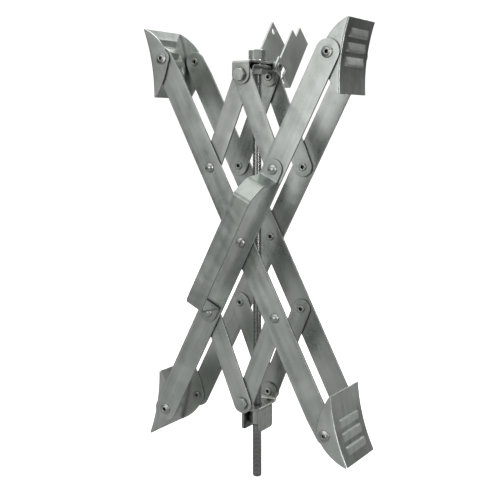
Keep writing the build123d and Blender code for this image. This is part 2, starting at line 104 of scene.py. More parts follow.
class Slot(Enum):
    """The record's material slots."""

    SHEET = "sheet_zinc"
    RIVET = "rivet_zinc"
    FASTENER = "fastener_zinc"
    SCREW = "screw_steel"


class Face(Enum):
    """Which side of the frame a rivet's head is on, as the sign of the front."""

    FRONT = 1.0
    REAR = -1.0


# ---------------------------------------------------------------- node building
class Bench:
    """Adds nodes to one tree and wires them."""

    def __init__(self, tree: bpy.types.NodeTree) -> None:
        """Take the tree that the nodes go into.

        Args:
            tree: A shader or geometry node tree.
        """
        self.tree = tree

    def node(self, kind: str, **settings: object) -> bpy.types.Node:
        """Add one node.

        Args:
            kind: The node's type name.
            settings: Properties to set on it.

        Returns:
            The new node.
        """
        made = self.tree.nodes.new(kind)
        for name, value in settings.items():
            setattr(made, name, value)
        return made

    def wire(self, source: bpy.types.NodeSocket, target: bpy.types.NodeSocket) -> None:
        """Link an output to an input."""
        self.tree.links.new(source, target)

    def feed(self, target: bpy.types.NodeSocket, value: object) -> None:
        """Fill a socket.

        Args:
            target: The input.
            value: A number, a vector or another node's output.
        """
        if isinstance(value, bpy.types.NodeSocket):
            self.wire(value, target)
        else:
            target.default_value = value

    def maths(self, operation: str, *values: object, clamp: bool = False) -> bpy.types.NodeSocket:
        """Calculate with up to three values.

        Args:
            operation: The Math node's operation.
            values: Numbers or sockets.
            clamp: Whether the result is kept from 0 to 1.

        Returns:
            The result's socket.
        """
        made = self.node("ShaderNodeMath", operation=operation, use_clamp=clamp)
        for target, value in zip(made.inputs, values):
            self.feed(target, value)
        return made.outputs[0]

    def ramp(self, value: object, low: float, high: float, out: Point = (0.0, 1.0)) -> bpy.types.NodeSocket:
        """Map a range smoothly on to another.

        Args:
            value: What is mapped.
            low: The value that gives the first output.
            high: The value that gives the second output.
            out: The two outputs.

        Returns:
            The mapped value's socket.
        """
        made = self.node("ShaderNodeMapRange", interpolation_type="SMOOTHSTEP")
        for target, item in zip(made.inputs, (value, low, high, *out)):
            self.feed(target, item)
        return made.outputs[0]

    def blend(self, share: object, first: object, second: object) -> bpy.types.NodeSocket:
        """Mix two colours.

        Args:
            share: How much of the second colour.
            first: A colour or a socket.
            second: A colour or a socket.

        Returns:
            The mixed colour's socket.
        """
        made = self.node("ShaderNodeMix", data_type="RGBA")
        self.feed(made.inputs["Factor"], share)
        self.feed(made.inputs[6], first)
        self.feed(made.inputs[7], second)
        return made.outputs[2]

    def noise(
        self, vector: object, scale: object, detail: float = 4.0, rough: float = 0.5
    ) -> bpy.types.NodeSocket:
        """Add a noise pattern.

        Args:
            vector: Where it is read.
            scale: Its scale, per metre.
            detail: Its octaves.
            rough: How strong the finer octaves are.

        Returns:
            The pattern's value.
        """
        made = self.node("ShaderNodeTexNoise")
        self.feed(made.inputs["Vector"], vector)
        self.feed(made.inputs["Scale"], scale)
        made.inputs["Detail"].default_value = detail
        made.inputs["Roughness"].default_value = rough
        return made.outputs[0]

    def stretched(self, vector: object, squeeze: Sequence[float]) -> bpy.types.NodeSocket:
        """Scale a coordinate unevenly.

        Args:
            vector: The coordinate.
            squeeze: The factor along each axis.

        Returns:
            The scaled coordinate's socket.
        """
        made = self.node("ShaderNodeVectorMath", operation="MULTIPLY")
        self.feed(made.inputs[0], vector)
        made.inputs[1].default_value = tuple(squeeze)
        return made.outputs[0]


def new_group(
    name: str, kind: str, inputs: Sequence[tuple], outputs: Sequence[tuple]
) -> bpy.types.NodeTree:
    """Make an empty node group with named sockets.

    Args:
        name: The group's name.
        kind: The tree's type name.
        inputs: Name, socket type and default of each input; None leaves the default.
        outputs: Name and socket type of each output.

    Returns:
        The group.
    """
    group = bpy.data.node_groups.new(name, kind)
    for label, socket, default in inputs:
        made = group.interface.new_socket(label, in_out="INPUT", socket_type=socket)
        if default is not None:
            made.default_value = default
    for label, socket in outputs:
        group.interface.new_socket(label, in_out="OUTPUT", socket_type=socket)
    return group


class SharedEffects:
    """The shader groups that every finish uses, each built once."""

    _made: dict[str, bpy.types.NodeTree] = {}

    @classmethod
    def get(cls, name: str) -> bpy.types.NodeTree:
        """Fetch a shared group, and build it when it is first asked for.

        Args:
            name: The group's name.

        Returns:
            The group.
        """
        if name not in cls._made:
            cls._made[name] = getattr(cls, f"_{name}")()
        return cls._made[name]

    @staticmethod
    def _rolled_grain() -> bpy.types.NodeTree:
        """Fine lines that rolling leaves along a strip, which is its Z.

        Returns:
            The group.
        """
        group = new_group(
            "rolled_grain",
            "ShaderNodeTree",
            [("Vector", "NodeSocketVector", None), ("Scale", "NodeSocketFloat", 900.0)],
            [("Height", "NodeSocketFloat"), ("Streaks", "NodeSocketFloat")],
        )
        bench = Bench(group)
        given, out = bench.node("NodeGroupInput"), bench.node("NodeGroupOutput")
        long_way = bench.stretched(given.outputs["Vector"], (1.0, 1.0, 0.03))
        fine = bench.noise(long_way, given.outputs["Scale"], 3.0, 0.6)
        broad_scale = bench.maths("MULTIPLY", given.outputs["Scale"], 0.14)
        broad = bench.noise(long_way, broad_scale, 2.0, 0.5)
        bench.wire(fine, out.inputs["Height"])
        bench.wire(bench.ramp(broad, 0.32, 0.68), out.inputs["Streaks"])
        return group

    @staticmethod
    def _plating_cloud() -> bpy.types.NodeTree:
        """Soft clouds and faint crystals that zinc plating shows.

        Returns:
            The group.
        """
        group = new_group(
            "plating_cloud",
            "ShaderNodeTree",
            [("Vector", "NodeSocketVector", None), ("Scale", "NodeSocketFloat", 22.0)],
            [("Cloud", "NodeSocketFloat"), ("Hue", "NodeSocketFloat"), ("Crystal", "NodeSocketFloat")],
        )
        bench = Bench(group)
        given, out = bench.node("NodeGroupInput"), bench.node("NodeGroupOutput")
        vector, scale = given.outputs["Vector"], given.outputs["Scale"]
        bench.wire(bench.ramp(bench.noise(vector, scale, 5.0, 0.55), 0.3, 0.7), out.inputs["Cloud"])
        wide = bench.maths("MULTIPLY", scale, 0.45)
        bench.wire(bench.ramp(bench.noise(vector, wide, 3.0, 0.5), 0.35, 0.65), out.inputs["Hue"])
        cells = bench.node("ShaderNodeTexVoronoi", feature="F1")
        bench.feed(cells.inputs["Vector"], vector)
        bench.feed(cells.inputs["Scale"], bench.maths("MULTIPLY", scale, 26.0))
        shade = bench.node("ShaderNodeSeparateColor")
        bench.wire(cells.outputs["Color"], shade.inputs[0])
        bench.wire(shade.outputs[0], out.inputs["Crystal"])
        return group

    @staticmethod
    def _handling_marks() -> bpy.types.NodeTree:
        """Short crossing scratches from handling.

        Returns:
            The group.
        """
        group = new_group(
            "handling_marks",
            "ShaderNodeTree",
            [("Vector", "NodeSocketVector", None), ("Amount", "NodeSocketFloat", 0.5)],
            [("Scratches", "NodeSocketFloat")],
        )
        bench = Bench(group)
        given, out = bench.node("NodeGroupInput"), bench.node("NodeGroupOutput")
        total: bpy.types.NodeSocket | None = None
        for turn, pattern_scale in ((0.5, 130.0), (-0.9, 170.0), (1.9, 110.0)):
            turned = bench.node("ShaderNodeMapping")
            bench.wire(given.outputs["Vector"], turned.inputs["Vector"])
            turned.inputs["Rotation"].default_value = (turn * 0.4, turn, turn * 0.7)
            thin = bench.stretched(turned.outputs[0], (7.0, 7.0, 0.35))
            lines = bench.ramp(bench.noise(thin, pattern_scale, 1.0, 0.4), 0.735, 0.765)
            patches = bench.ramp(bench.noise(turned.outputs[0], 28.0, 1.0, 0.5), 0.5, 0.62)
            line = bench.maths("MULTIPLY", lines, patches)
            total = line if total is None else bench.maths("MAXIMUM", total, line)
        bench.wire(bench.maths("MULTIPLY", total, given.outputs["Amount"]), out.inputs["Scratches"])
        return group

    @staticmethod
    def _crevice_dirt() -> bpy.types.NodeTree:
        """Mask of painted shade in the gaps and corners, found by ambient occlusion.

        Returns:
            The group.
        """
        group = new_group(
            "crevice_dirt",
            "ShaderNodeTree",
            [
                ("Vector", "NodeSocketVector", None),
                ("Reach", "NodeSocketFloat", 7.0 * MM),
                ("Amount", "NodeSocketFloat", 0.8),
            ],
            [("Mask", "NodeSocketFloat")],
        )
        bench = Bench(group)
        given, out = bench.node("NodeGroupInput"), bench.node("NodeGroupOutput")
        # Ambient occlusion paints shade into the gaps and corners.
        open_share = bench.node("ShaderNodeAmbientOcclusion", samples=6)
        bench.wire(given.outputs["Reach"], open_share.inputs["Distance"])
        closed = bench.ramp(open_share.outputs["AO"], 0.9, 0.25)
        uneven = bench.ramp(bench.noise(given.outputs["Vector"], 150.0, 4.0, 0.6), 0.2, 0.6, (0.75, 1.0))
        mask = bench.maths("MULTIPLY", bench.maths("MULTIPLY", closed, uneven), given.outputs["Amount"])
        bench.wire(mask, out.inputs["Mask"])
        return group

    @staticmethod
    def _edge_wear() -> bpy.types.NodeTree:
        """Mask of the edges where plating is rubbed bright, broken by noise.

        Returns:
            The group.
        """
        group = new_group(
            "edge_wear",
            "ShaderNodeTree",
            [
                ("Vector", "NodeSocketVector", None),
                ("Width", "NodeSocketFloat", 0.8 * MM),
                ("Amount", "NodeSocketFloat", 0.6),
            ],
            [("Mask", "NodeSocketFloat")],
        )
        bench = Bench(group)
        given, out = bench.node("NodeGroupInput"), bench.node("NodeGroupOutput")
        soft = bench.node("ShaderNodeBevel", samples=4)
        bench.wire(given.outputs["Width"], soft.inputs["Radius"])
        sharp = bench.node("ShaderNodeNewGeometry")
        dot = bench.node("ShaderNodeVectorMath", operation="DOT_PRODUCT")
        bench.wire(soft.outputs[0], dot.inputs[0])
        bench.wire(sharp.outputs["True Normal"], dot.inputs[1])
        bent = bench.ramp(dot.outputs["Value"], 0.995, 0.82)
        broken = bench.ramp(bench.noise(given.outputs["Vector"], 260.0, 3.0, 0.6), 0.3, 0.62)
        mask = bench.maths("MULTIPLY", bench.maths("MULTIPLY", bent, broken), given.outputs["Amount"])
        bench.wire(mask, out.inputs["Mask"])
        return group


# ---------------------------------------------------------------- finishes
@dataclass(frozen=True)
class Layers:
    """The shared effects as one material has them, and the coordinate they read."""

    vector: bpy.types.NodeSocket
    grain: bpy.types.Node
    cloud: bpy.types.Node
    marks: bpy.types.Node
    wear: bpy.types.Node
    crevice_shade: bpy.types.Node


@dataclass(frozen=True)
class ZincPlate:
    """Zinc plating on steel, with its grain along one direction of the part."""

    name: str
    light: Colour = (0.72, 0.75, 0.725)
    dark: Colour = (0.46, 0.49, 0.465)
    warm: Colour = (0.6, 0.605, 0.56)
    bright: Colour = (0.86, 0.87, 0.86)
    gloss: Point = (0.25, 0.38)
    grain: float = 0.22
    grain_scale: float = 900.0
    cloud_scale: float = 22.0
    scratches: float = 0.5
    wear: float = 0.65
    grime: float = 0.18
    # How strongly shade is painted into crevices, and how far it reaches.
    crevice_shade_amount: float = 0.85
    crevice_reach: float = 7.0 * MM
    waviness: float = 1.2 * MM
    # How strongly shade is painted on faces that turn away from front and back.
    side_shade: float = 0.0
    soil: Colour = (0.2, 0.2, 0.19)
    # Colour of the painted shade on those side faces.
    side_shade_colour: Colour = (0.2, 0.21, 0.2)
    # Colour of the painted shade in crevices.
    crevice_shade_colour: Colour = (0.07, 0.07, 0.065)

    def material(self, lean: float = 0.0) -> bpy.types.Material:
        """Build the material, or return the one already made for that lean.

        Args:
            lean: Angle in degrees from +Z towards +X that the grain follows.

        Returns:
            The material.
        """
        label = f"{self.name}_{lean:+.0f}".replace("+", "p").replace("-", "m")
        found = bpy.data.materials.get(label)
        if found is not None:
            return found
        material = bpy.data.materials.new(label)
        material.use_nodes = True
        material.node_tree.nodes.clear()
        bench = Bench(material.node_tree)
        place = bench.node("ShaderNodeTexCoord")
        turned = bench.node("ShaderNodeMapping")
        turned.inputs["Rotation"].default_value = (0.0, -math.radians(lean), 0.0)
        bench.wire(place.outputs["Object"], turned.inputs["Vector"])
        layers = self._layers(bench, turned.outputs[0])
        surface = bench.node("ShaderNodeBsdfPrincipled")
        surface.inputs["Metallic"].default_value = 1.0
        bench.wire(self._colour(bench, layers), surface.inputs["Base Color"])
        bench.wire(self._roughness(bench, layers), surface.inputs["Roughness"])
        bench.wire(self._relief(bench, layers), surface.inputs["Normal"])
        out = bench.node("ShaderNodeOutputMaterial")
        bench.wire(surface.outputs[0], out.inputs["Surface"])
        return material

    def _layers(self, bench: Bench, vector: bpy.types.NodeSocket) -> Layers:
        """Place every shared effect with this finish's values.

        Args:
            bench: The material's nodes.
            vector: The coordinate that they read.

        Returns:
            The placed effects.
        """
        return Layers(
            vector,
            grain=self._effect(bench, "rolled_grain", vector, Scale=self.grain_scale),
            cloud=self._effect(bench, "plating_cloud", vector, Scale=self.cloud_scale),
            marks=self._effect(bench, "handling_marks", vector, Amount=self.scratches),
            wear=self._effect(bench, "edge_wear", vector, Amount=self.wear),
            # Painted shade in the crevices.
            crevice_shade=self._effect(
                bench, "crevice_dirt", vector, Amount=self.crevice_shade_amount, Reach=self.crevice_reach
            ),
        )

    @staticmethod
    def _effect(bench: Bench, name: str, vector: bpy.types.NodeSocket, **values: float) -> bpy.types.Node:
        """Place a shared group with its own values.

        Args:
            bench: The material's nodes.
            name: The group's name.
            vector: The coordinate that it reads.
            values: Its inputs by name.

        Returns:
            The group's node.
        """
        made = bench.node("ShaderNodeGroup")
        made.node_tree = SharedEffects.get(name)
        bench.wire(vector, made.inputs["Vector"])
        for label, value in values.items():
            made.inputs[label].default_value = value
        return made

    def _colour(self, bench: Bench, layers: Layers) -> bpy.types.NodeSocket:
        """Mix the plating's colour from its clouds, streaks, grime and rubbed edges, with painted shade in
        its crevices and on its side faces.

        Args:
            bench: The material's nodes.
            layers: The placed effects.

        Returns:
            The colour's socket.
        """
        patch = bench.maths(
            "ADD",
            bench.maths("MULTIPLY", layers.cloud.outputs["Cloud"], 0.6),
            bench.maths("MULTIPLY", layers.grain.outputs["Streaks"], 0.4),
        )
        base = bench.blend(patch, (*self.dark, 1.0), (*self.light, 1.0))
        hue_share = bench.maths("MULTIPLY", layers.cloud.outputs["Hue"], 0.35)
        hued = bench.blend(hue_share, base, (*self.warm, 1.0))
        dull = bench.ramp(bench.noise(layers.vector, 60.0, 6.0, 0.65), 0.52, 0.75, (0.0, self.grime))
        soiled = bench.blend(dull, hued, (*self.soil, 1.0))
        scored = bench.maths("MULTIPLY", layers.marks.outputs["Scratches"], 0.6)
        rub = bench.maths("MAXIMUM", layers.wear.outputs["Mask"], scored)
        # Painted shade: faces that turn away from front and back are darkened.
        facing = bench.node("ShaderNodeSeparateXYZ")
        bench.wire(bench.node("ShaderNodeNewGeometry").outputs["True Normal"], facing.inputs[0])
        side_shade_mask = bench.ramp(bench.maths("ABSOLUTE", facing.outputs["Y"]), 0.45, 0.2, (0.0, self.side_shade))
        side_shaded = bench.blend(side_shade_mask, soiled, (*self.side_shade_colour, 1.0))
        rubbed = bench.blend(rub, side_shaded, (*self.bright, 1.0))
        # Painted shade darkens the crevices.
        return bench.blend(layers.crevice_shade.outputs["Mask"], rubbed, (*self.crevice_shade_colour, 1.0))

    def _roughness(self, bench: Bench, layers: Layers) -> bpy.types.NodeSocket:
        """Vary the gloss with the clouds, the crystals and the rubbed places.

        Args:
            bench: The material's nodes.
            layers: The placed effects.

        Returns:
            The roughness's socket.
        """
        low, high = self.gloss
        spread = bench.maths(
            "ADD",
            bench.maths("MULTIPLY", layers.cloud.outputs["Cloud"], 0.5),
            bench.maths(
                "ADD",
                bench.maths("MULTIPLY", layers.cloud.outputs["Crystal"], 0.25),
                bench.maths("MULTIPLY", layers.grain.outputs["Streaks"], 0.25),
            ),
        )
        rough = bench.maths("ADD", bench.maths("MULTIPLY", spread, high - low), low)
        rubbed = bench.maths("MULTIPLY", layers.wear.outputs["Mask"], -0.12)
        scored = bench.maths("MULTIPLY", layers.marks.outputs["Scratches"], 0.12)
        return bench.maths("ADD", rough, bench.maths("ADD", rubbed, scored), clamp=True)

    def _relief(self, bench: Bench, layers: Layers) -> bpy.types.NodeSocket:
        """Turn the sheet's waviness, its grain and its plating into a bumped normal.

        Args:
            bench: The material's nodes.
            layers: The placed effects.

        Returns:
            The normal's socket.
        """
        fine = bench.maths("MULTIPLY", layers.grain.outputs["Height"], self.grain)
        height = bench.maths("ADD", fine, bench.maths("MULTIPLY", layers.cloud.outputs["Cloud"], 0.5))
        waves = bench.node("ShaderNodeBump")
        waves.inputs["Strength"].default_value = 0.6
        waves.inputs["Distance"].default_value = self.waviness
        bench.wire(layers.cloud.outputs["Hue"], waves.inputs["Height"])
        bump = bench.node("ShaderNodeBump")
        bump.inputs["Strength"].default_value = 0.35
        bump.inputs["Distance"].default_value = 0.12 * MM
        bench.wire(height, bump.inputs["Height"])
        bench.wire(waves.outputs[0], bump.inputs["Normal"])
        return bump.outputs[0]


@dataclass(frozen=True)
class Finishes:
    """The stabiliser's finishes, one for each kind of part."""

    # Straps get painted shade on their side faces.
    strap: ZincPlate = ZincPlate("strap_zinc", side_shade=0.75)
    grip: ZincPlate = ZincPlate(
        "grip_zinc",
        light=(0.56, 0.6, 0.57),
        dark=(0.38, 0.41, 0.385),
        warm=(0.47, 0.48, 0.43),
        gloss=(0.26, 0.4),
        scratches=0.65,
        cloud_scale=30.0,
        grime=0.24,
    )
    formed: ZincPlate = ZincPlate(
        "formed_zinc", gloss=(0.26, 0.4), scratches=0.65, cloud_scale=30.0, grime=0.24
    )
    bracket: ZincPlate = ZincPlate(
        "bracket_zinc",
        light=(0.62, 0.64, 0.61),
        dark=(0.42, 0.44, 0.41),
        warm=(0.5, 0.49, 0.43),
        gloss=(0.24, 0.38),
        scratches=0.65,
        cloud_scale=40.0,
        grime=0.3,
        # Deep crevice settings paint the shade inside the brackets.
        crevice_shade_amount=0.97,
        crevice_reach=16.0 * MM,
        waviness=0.4 * MM,
    )
    # The cover's zinc colour is raised far above the others to paint the light that its plates catch.
    cover: ZincPlate = ZincPlate(
        "cover_zinc",
        light=(0.88, 0.91, 0.88),
        dark=(0.7, 0.73, 0.7),
        gloss=(0.34, 0.5),
        scratches=0.4,
        cloud_scale=30.0,
        grime=0.15,
        waviness=0.6 * MM,
    )
    rivet: ZincPlate = ZincPlate(
        "rivet_zinc",
        light=(0.58, 0.6, 0.58),
        dark=(0.4, 0.42, 0.4),
        warm=(0.5, 0.49, 0.44),
        gloss=(0.2, 0.3),
        grain=0.05,
        scratches=0.3,
        wear=0.4,
        cloud_scale=90.0,
        grime=0.12,
        # Painted shade in the rivets' bores and round their heads.
        crevice_shade_amount=0.95,
        waviness=0.1 * MM,
    )
    turned: ZincPlate = ZincPlate(
        "turned_zinc",
        gloss=(0.22, 0.34),
        grain=0.1,
        scratches=0.4,
        cloud_scale=60.0,
        grime=0.16,
        waviness=0.2 * MM,
    )
    thread: ZincPlate = ZincPlate(
        "thread_zinc",
        light=(0.6, 0.62, 0.61),
        dark=(0.42, 0.44, 0.43),
        warm=(0.5, 0.48, 0.44),
        gloss=(0.2, 0.3),
        grain=0.02,
        scratches=0.1,
        wear=0.35,
        grime=0.12,
        crevice_shade_amount=0.5,
        waviness=0.0,
    )


# ---------------------------------------------------------------- mesh helpers
def place_mesh(mesh: bpy.types.Mesh, name: str) -> bpy.types.Object:
    """Put a mesh in the scene as an object at the origin.

    Args:
        mesh: The object's mesh.
        name: The object's name.

    Returns:
        The object.
    """
    made = bpy.data.objects.new(name, mesh)
    bpy.context.scene.collection.objects.link(made)
    return made


def plain_mesh(bm: bmesh.types.BMesh, name: str) -> bpy.types.Mesh:
    """Turn the mesh being edited into a new mesh, and free it.

    Args:
        bm: The mesh being edited.
        name: The new mesh's name.

    Returns:
        The new mesh.
    """
    mesh = bpy.data.meshes.new(name)
    bm.to_mesh(mesh)
    bm.free()
    return mesh


def shade(mesh: bpy.types.Mesh, angle: float) -> None:
    """Shade a mesh smoothly, but not across its sharp edges.

    Args:
        mesh: The mesh.
        angle: The smallest turn of a sharp edge, in degrees.
    """
    mesh.shade_smooth()
    mesh.set_sharp_from_angle(angle=math.radians(angle))


def settle(piece: bpy.types.Object) -> None:
    """Turn a piece's live modifiers into a plain mesh.

    Args:
        piece: The piece, which keeps its name and loses its modifiers.
    """
    graph = bpy.context.evaluated_depsgraph_get()
    plain = bpy.data.meshes.new_from_object(piece.evaluated_get(graph), depsgraph=graph)
    piece.modifiers.clear()
    old = piece.data
    piece.data = plain
    bpy.data.meshes.remove(old)


def even_normals(piece: bpy.types.Object) -> None:
    """Shade flat faces flat and their rounded edges smoothly.

    Args:
        piece: The piece.
    """
    piece.data.shade_smooth()
    modifier = piece.modifiers.new("even_normals", "WEIGHTED_NORMAL")
    modifier.weight = FLAT_WEIGHT
    modifier.keep_sharp = True
    settle(piece)


def round_edges(bm: bmesh.types.BMesh, width: float, angle: float = 32.0, steps: int = 2) -> None:
    """Round every edge that turns by more than an angle.

    A corner that the rounding throws off the part is put back on its surface.

    Args:
        bm: The mesh being edited.
        width: How far the rounding reaches from the edge.
        angle: The smallest turn that is rounded, in degrees.
        steps: Faces across the rounding.
    """
    before = BVHTree.FromBMesh(bm)
    limit = math.radians(angle)
    sharp = [e for e in bm.edges if len(e.link_faces) == 2 and e.calc_face_angle(0.0) > limit]
    bmesh.ops.bevel(
        bm,
        geom=sharp,
        offset=width,
        offset_type="OFFSET",
        segments=steps,
        profile=0.5,
        affect="EDGES",
        clamp_overlap=False,
    )
    for vert in bm.verts:
        nearest, _, _, gap = before.find_nearest(vert.co)
        if gap > STRAY_SHARE * width:
            vert.co = nearest


def lathe(profile: Sequence[Point], segments: int, closed: bool) -> bpy.types.Mesh:
    """Revolve a profile about the Y axis.

    Args:
        profile: Radius and height of each point; the head's side is at lower heights.
        segments: Faces round the axis.
        closed: Whether the profile is a loop, for a piece that is open through.

    Returns:
        The mesh, with its faces outwards.
    """
    bm = bmesh.new()
    rings: list[list[bmesh.types.BMVert]] = []
    for radius, height in profile:
        if radius < ON_AXIS:
            rings.append([bm.verts.new((0.0, height, 0.0))])
            continue
        turns = [2 * math.pi * i / segments for i in range(segments)]
        rings.append([bm.verts.new((radius * math.cos(t), height, radius * math.sin(t))) for t in turns])
    pairs = list(zip(rings, rings[1:]))
    if closed:
        pairs.append((rings[-1], rings[0]))
    for first, second in pairs:
        for i in range(segments):
            k = (i + 1) % segments
            near = [first[i % len(first)], first[k % len(first)]]
            far = [second[k % len(second)], second[i % len(second)]]
            unique = list(dict.fromkeys(near + far))
            if len(unique) > 2:
                bm.faces.new(unique)
    bmesh.ops.recalc_face_normals(bm, faces=bm.faces)
    mesh = plain_mesh(bm, "turned")
    shade(mesh, 38.0)
    return mesh


def rounded(points: Sequence[Point], radii: Sequence[float], steps: int = 4) -> list[Point]:
    """Round the corners of an open polyline.

    Args:
        points: The corners, with the two ends.
        radii: The setback at each inner corner.
        steps: Points along each rounding.

    Returns:
        The points of the rounded line.
    """
    line = [points[0]]
    for (x0, y0), (x1, y1), (x2, y2), radius in zip(points, points[1:], points[2:], radii):
        back, ahead = Vector((x0 - x1, y0 - y1)), Vector((x2 - x1, y2 - y1))
        reach = min(radius, 0.48 * back.length, 0.48 * ahead.length)
        if reach <= 0:
            line.append((x1, y1))
            continue
        start = Vector((x1, y1)) + back.normalized() * reach
        end = Vector((x1, y1)) + ahead.normalized() * reach
        for i in range(steps + 1):
            t = i / steps
            spot = start * (1 - t) ** 2 + Vector((x1, y1)) * 2 * t * (1 - t) + end * t**2
            line.append((spot.x, spot.y))
    line.append(points[-1])
    return line


def dress(piece: bpy.types.Object, body: str, nodes: Sequence[str]) -> None:
    """Tie a finished piece to its body and the nodes it stands for.

    Args:
        piece: The piece.
        body: The body it rides on.
        nodes: The nodes it stands for.
    """
    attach(piece, body)
    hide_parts(*nodes)
    faces = sum(len(p.vertices) - 2 for p in piece.data.polygons)
    LOG.info("%s rides on %s, %d triangles", piece.name, body, faces)


# ---------------------------------------------------------------- sheet parts
@dataclass
class SheetPart:
    """A flat or bent sheet part, rebuilt from its node with rounded cut edges."""

    node: str
    body: str
    name: str
    finish: ZincPlate
    lean: float = 0.0
    edge: float = 0.42 * MM
    weld: float = 0.002 * MM

    def build(self, nodes: dict[str, bpy.types.Object]) -> bpy.types.Object:
        """Copy the node's mesh, weld it, round its edges and dress it.

        Args:
            nodes: The frame's nodes by name.

        Returns:
            The finished piece.
        """
        bm = bmesh.new()
        bm.from_mesh(nodes[self.node].data)
        bmesh.ops.remove_doubles(bm, verts=bm.verts, dist=self.weld)
        bmesh.ops.dissolve_limit(bm, angle_limit=math.radians(0.5), verts=bm.verts, edges=bm.edges)
        round_edges(bm, self.edge)
        bmesh.ops.triangulate(bm, faces=[f for f in bm.faces if len(f.verts) > 4])
        mesh = plain_mesh(bm, self.name)
        mesh.materials.clear()
        mesh.materials.append(self.finish.material(self.lean))
        piece = place_mesh(mesh, self.name)
        even_normals(piece)
        dress(piece, self.body, [self.node])
        return piece


@dataclass
class ScissorFrame:
    """The crossed arms, the eight links and the brackets on the screw's axis."""

    finishes: Finishes
    arm_lean: float = 27.0
    link_lean: float = 22.2

    def parts(self) -> list[SheetPart]:
        """List every strap and bracket with its body and the way its grain runs.

        Returns:
            The parts, not yet built.
        """
        strap, bracket, cover = self.finishes.strap, self.finishes.bracket, self.finishes.cover
        made = []
        for side in ("front", "rear"):
            made.append(SheetPart(f"{side}_arm_a", "arm_a", f"{side}_arm_a_strap", strap, self.arm_lean))
            made.append(SheetPart(f"{side}_arm_b", "arm_b", f"{side}_arm_b_strap", strap, -self.arm_lean))
            for level, up in (("upper", 1), ("lower", -1)):
                for hand, right in (("right", 1), ("left", -1)):
                    node = f"{side}_link_{level}_{hand}"
                    lean = -up * right * self.link_lean
                    made.append(SheetPart(node, f"{level}_{hand}_links", f"{node}_strap", strap, lean))
        made.append(SheetPart("outer_cap", "head", "outer_cap_sheet", bracket))
        made.append(SheetPart("upper_saddle", "head", "upper_saddle_sheet", bracket))
        made.append(SheetPart("lower_saddle", "nut_head", "lower_saddle_sheet", bracket, edge=0.25 * MM))
        made.append(SheetPart("lock_cover", "cover", "lock_cover_sheet", cover, edge=0.35 * MM))
        return made

    def build(self, nodes: dict[str, bpy.types.Object]) -> list[bpy.types.Object]:
        """Build every strap and bracket."""
        return [part.build(nodes) for part in self.parts()]


@dataclass
class GrabHandle:
    """The bent strip that bridges the front arm between two link rivets."""

    finish: ZincPlate
    node: str = "grab_handle"
    lean: float = 27.0
    middle: float = 43.5 * MM
    half_width: float = 12.5 * MM
    sheet: float = 3.0 * MM
    edge: float = 0.6 * MM
    reach: float = 104.0 * MM
    outline: tuple[Point, ...] = ((90.5, 0.0), (86.5, 31.0), (69.0, 47.0), (-87.5, 47.0), (-91.5, 0.0))
    bends: tuple[float, ...] = (4.0, 4.0, 4.0, 8.5, 4.0)

    def stations(self) -> list[tuple[Point, float]]:
        """Lay out the strip along its middle.

        Returns:
            Points of the middle line, each with the strip's half width there.
        """
        ends = [math.radians(turn) for turn in (86, 75, 62, 48, 34, 20, 8, 0)]
        caps = [(self.reach + self.half_width * math.sin(t), self.half_width * math.cos(t)) for t in ends]
        corners = [(self.reach, 0.0), *((a * MM, out * MM) for a, out in self.outline), (-self.reach, 0.0)]
        line = rounded(corners, [bend * MM for bend in self.bends], 8)
        first = [((a, 0.0), w) for a, w in caps[:-1]]
        last = [((-a, 0.0), w) for a, w in reversed(caps[:-1])]
        return first + [(spot, self.half_width) for spot in line] + last

    def section(self, spots: Sequence[Vector], i: int, width: float) -> list[Vector]:
        """Find the corners of the strip's section at one station.

        Args:
            spots: The middle line's points.
            i: The station's number.
            width: Half the strip's width there.

        Returns:
            The four corners, in order round the section.
        """
        tilt = math.radians(self.lean)
        along = Vector((math.sin(tilt), 0.0, math.cos(tilt)))
        across = Vector((math.cos(tilt), 0.0, -math.sin(tilt)))
        starts, ends = spots[max(i - 1, 0) : i + 1], spots[max(i, 1) : i + 2]
        run = [(b - a).normalized() for a, b in zip(starts, ends)]
        way = sum(run, Vector((0.0, 0.0))).normalized()
        spread = self.sheet / 2 / max(way.dot(run[0]), 0.5)
        side = Vector((way.y, -way.x)) * spread
        corners = []
        for level, sign in ((side, -1), (side, 1), (-side, 1), (-side, -1)):
            a, out = spots[i] + level
            corners.append(along * a + Vector((0.0, -self.middle - out, 0.0)) + across * (sign * width))
        return corners

    def build(self) -> bpy.types.Object:
        """Sweep the strip along its bends and dress it.

        Returns:
            The finished handle.
        """
        stations = self.stations()
        spots = [Vector(spot) for spot, _ in stations]
        bm = bmesh.new()
        rings = []
        for i, (_, width) in enumerate(stations):
            rings.append([bm.verts.new(corner) for corner in self.section(spots, i, width)])
        for first, second in zip(rings, rings[1:]):
            for k in range(4):
                bm.faces.new((first[k], first[(k + 1) % 4], second[(k + 1) % 4], second[k]))
        bm.faces.new(rings[0])
        bm.faces.new(list(reversed(rings[-1])))
        bmesh.ops.recalc_face_normals(bm, faces=bm.faces)
        round_edges(bm, self.edge, angle=60.0, steps=3)
        mesh = plain_mesh(bm, self.node)
        mesh.materials.append(self.finish.material(self.lean))
        piece = place_mesh(mesh, f"{self.node}_strip")
        even_normals(piece)
        dress(piece, "arm_a", [self.node])
        return piece


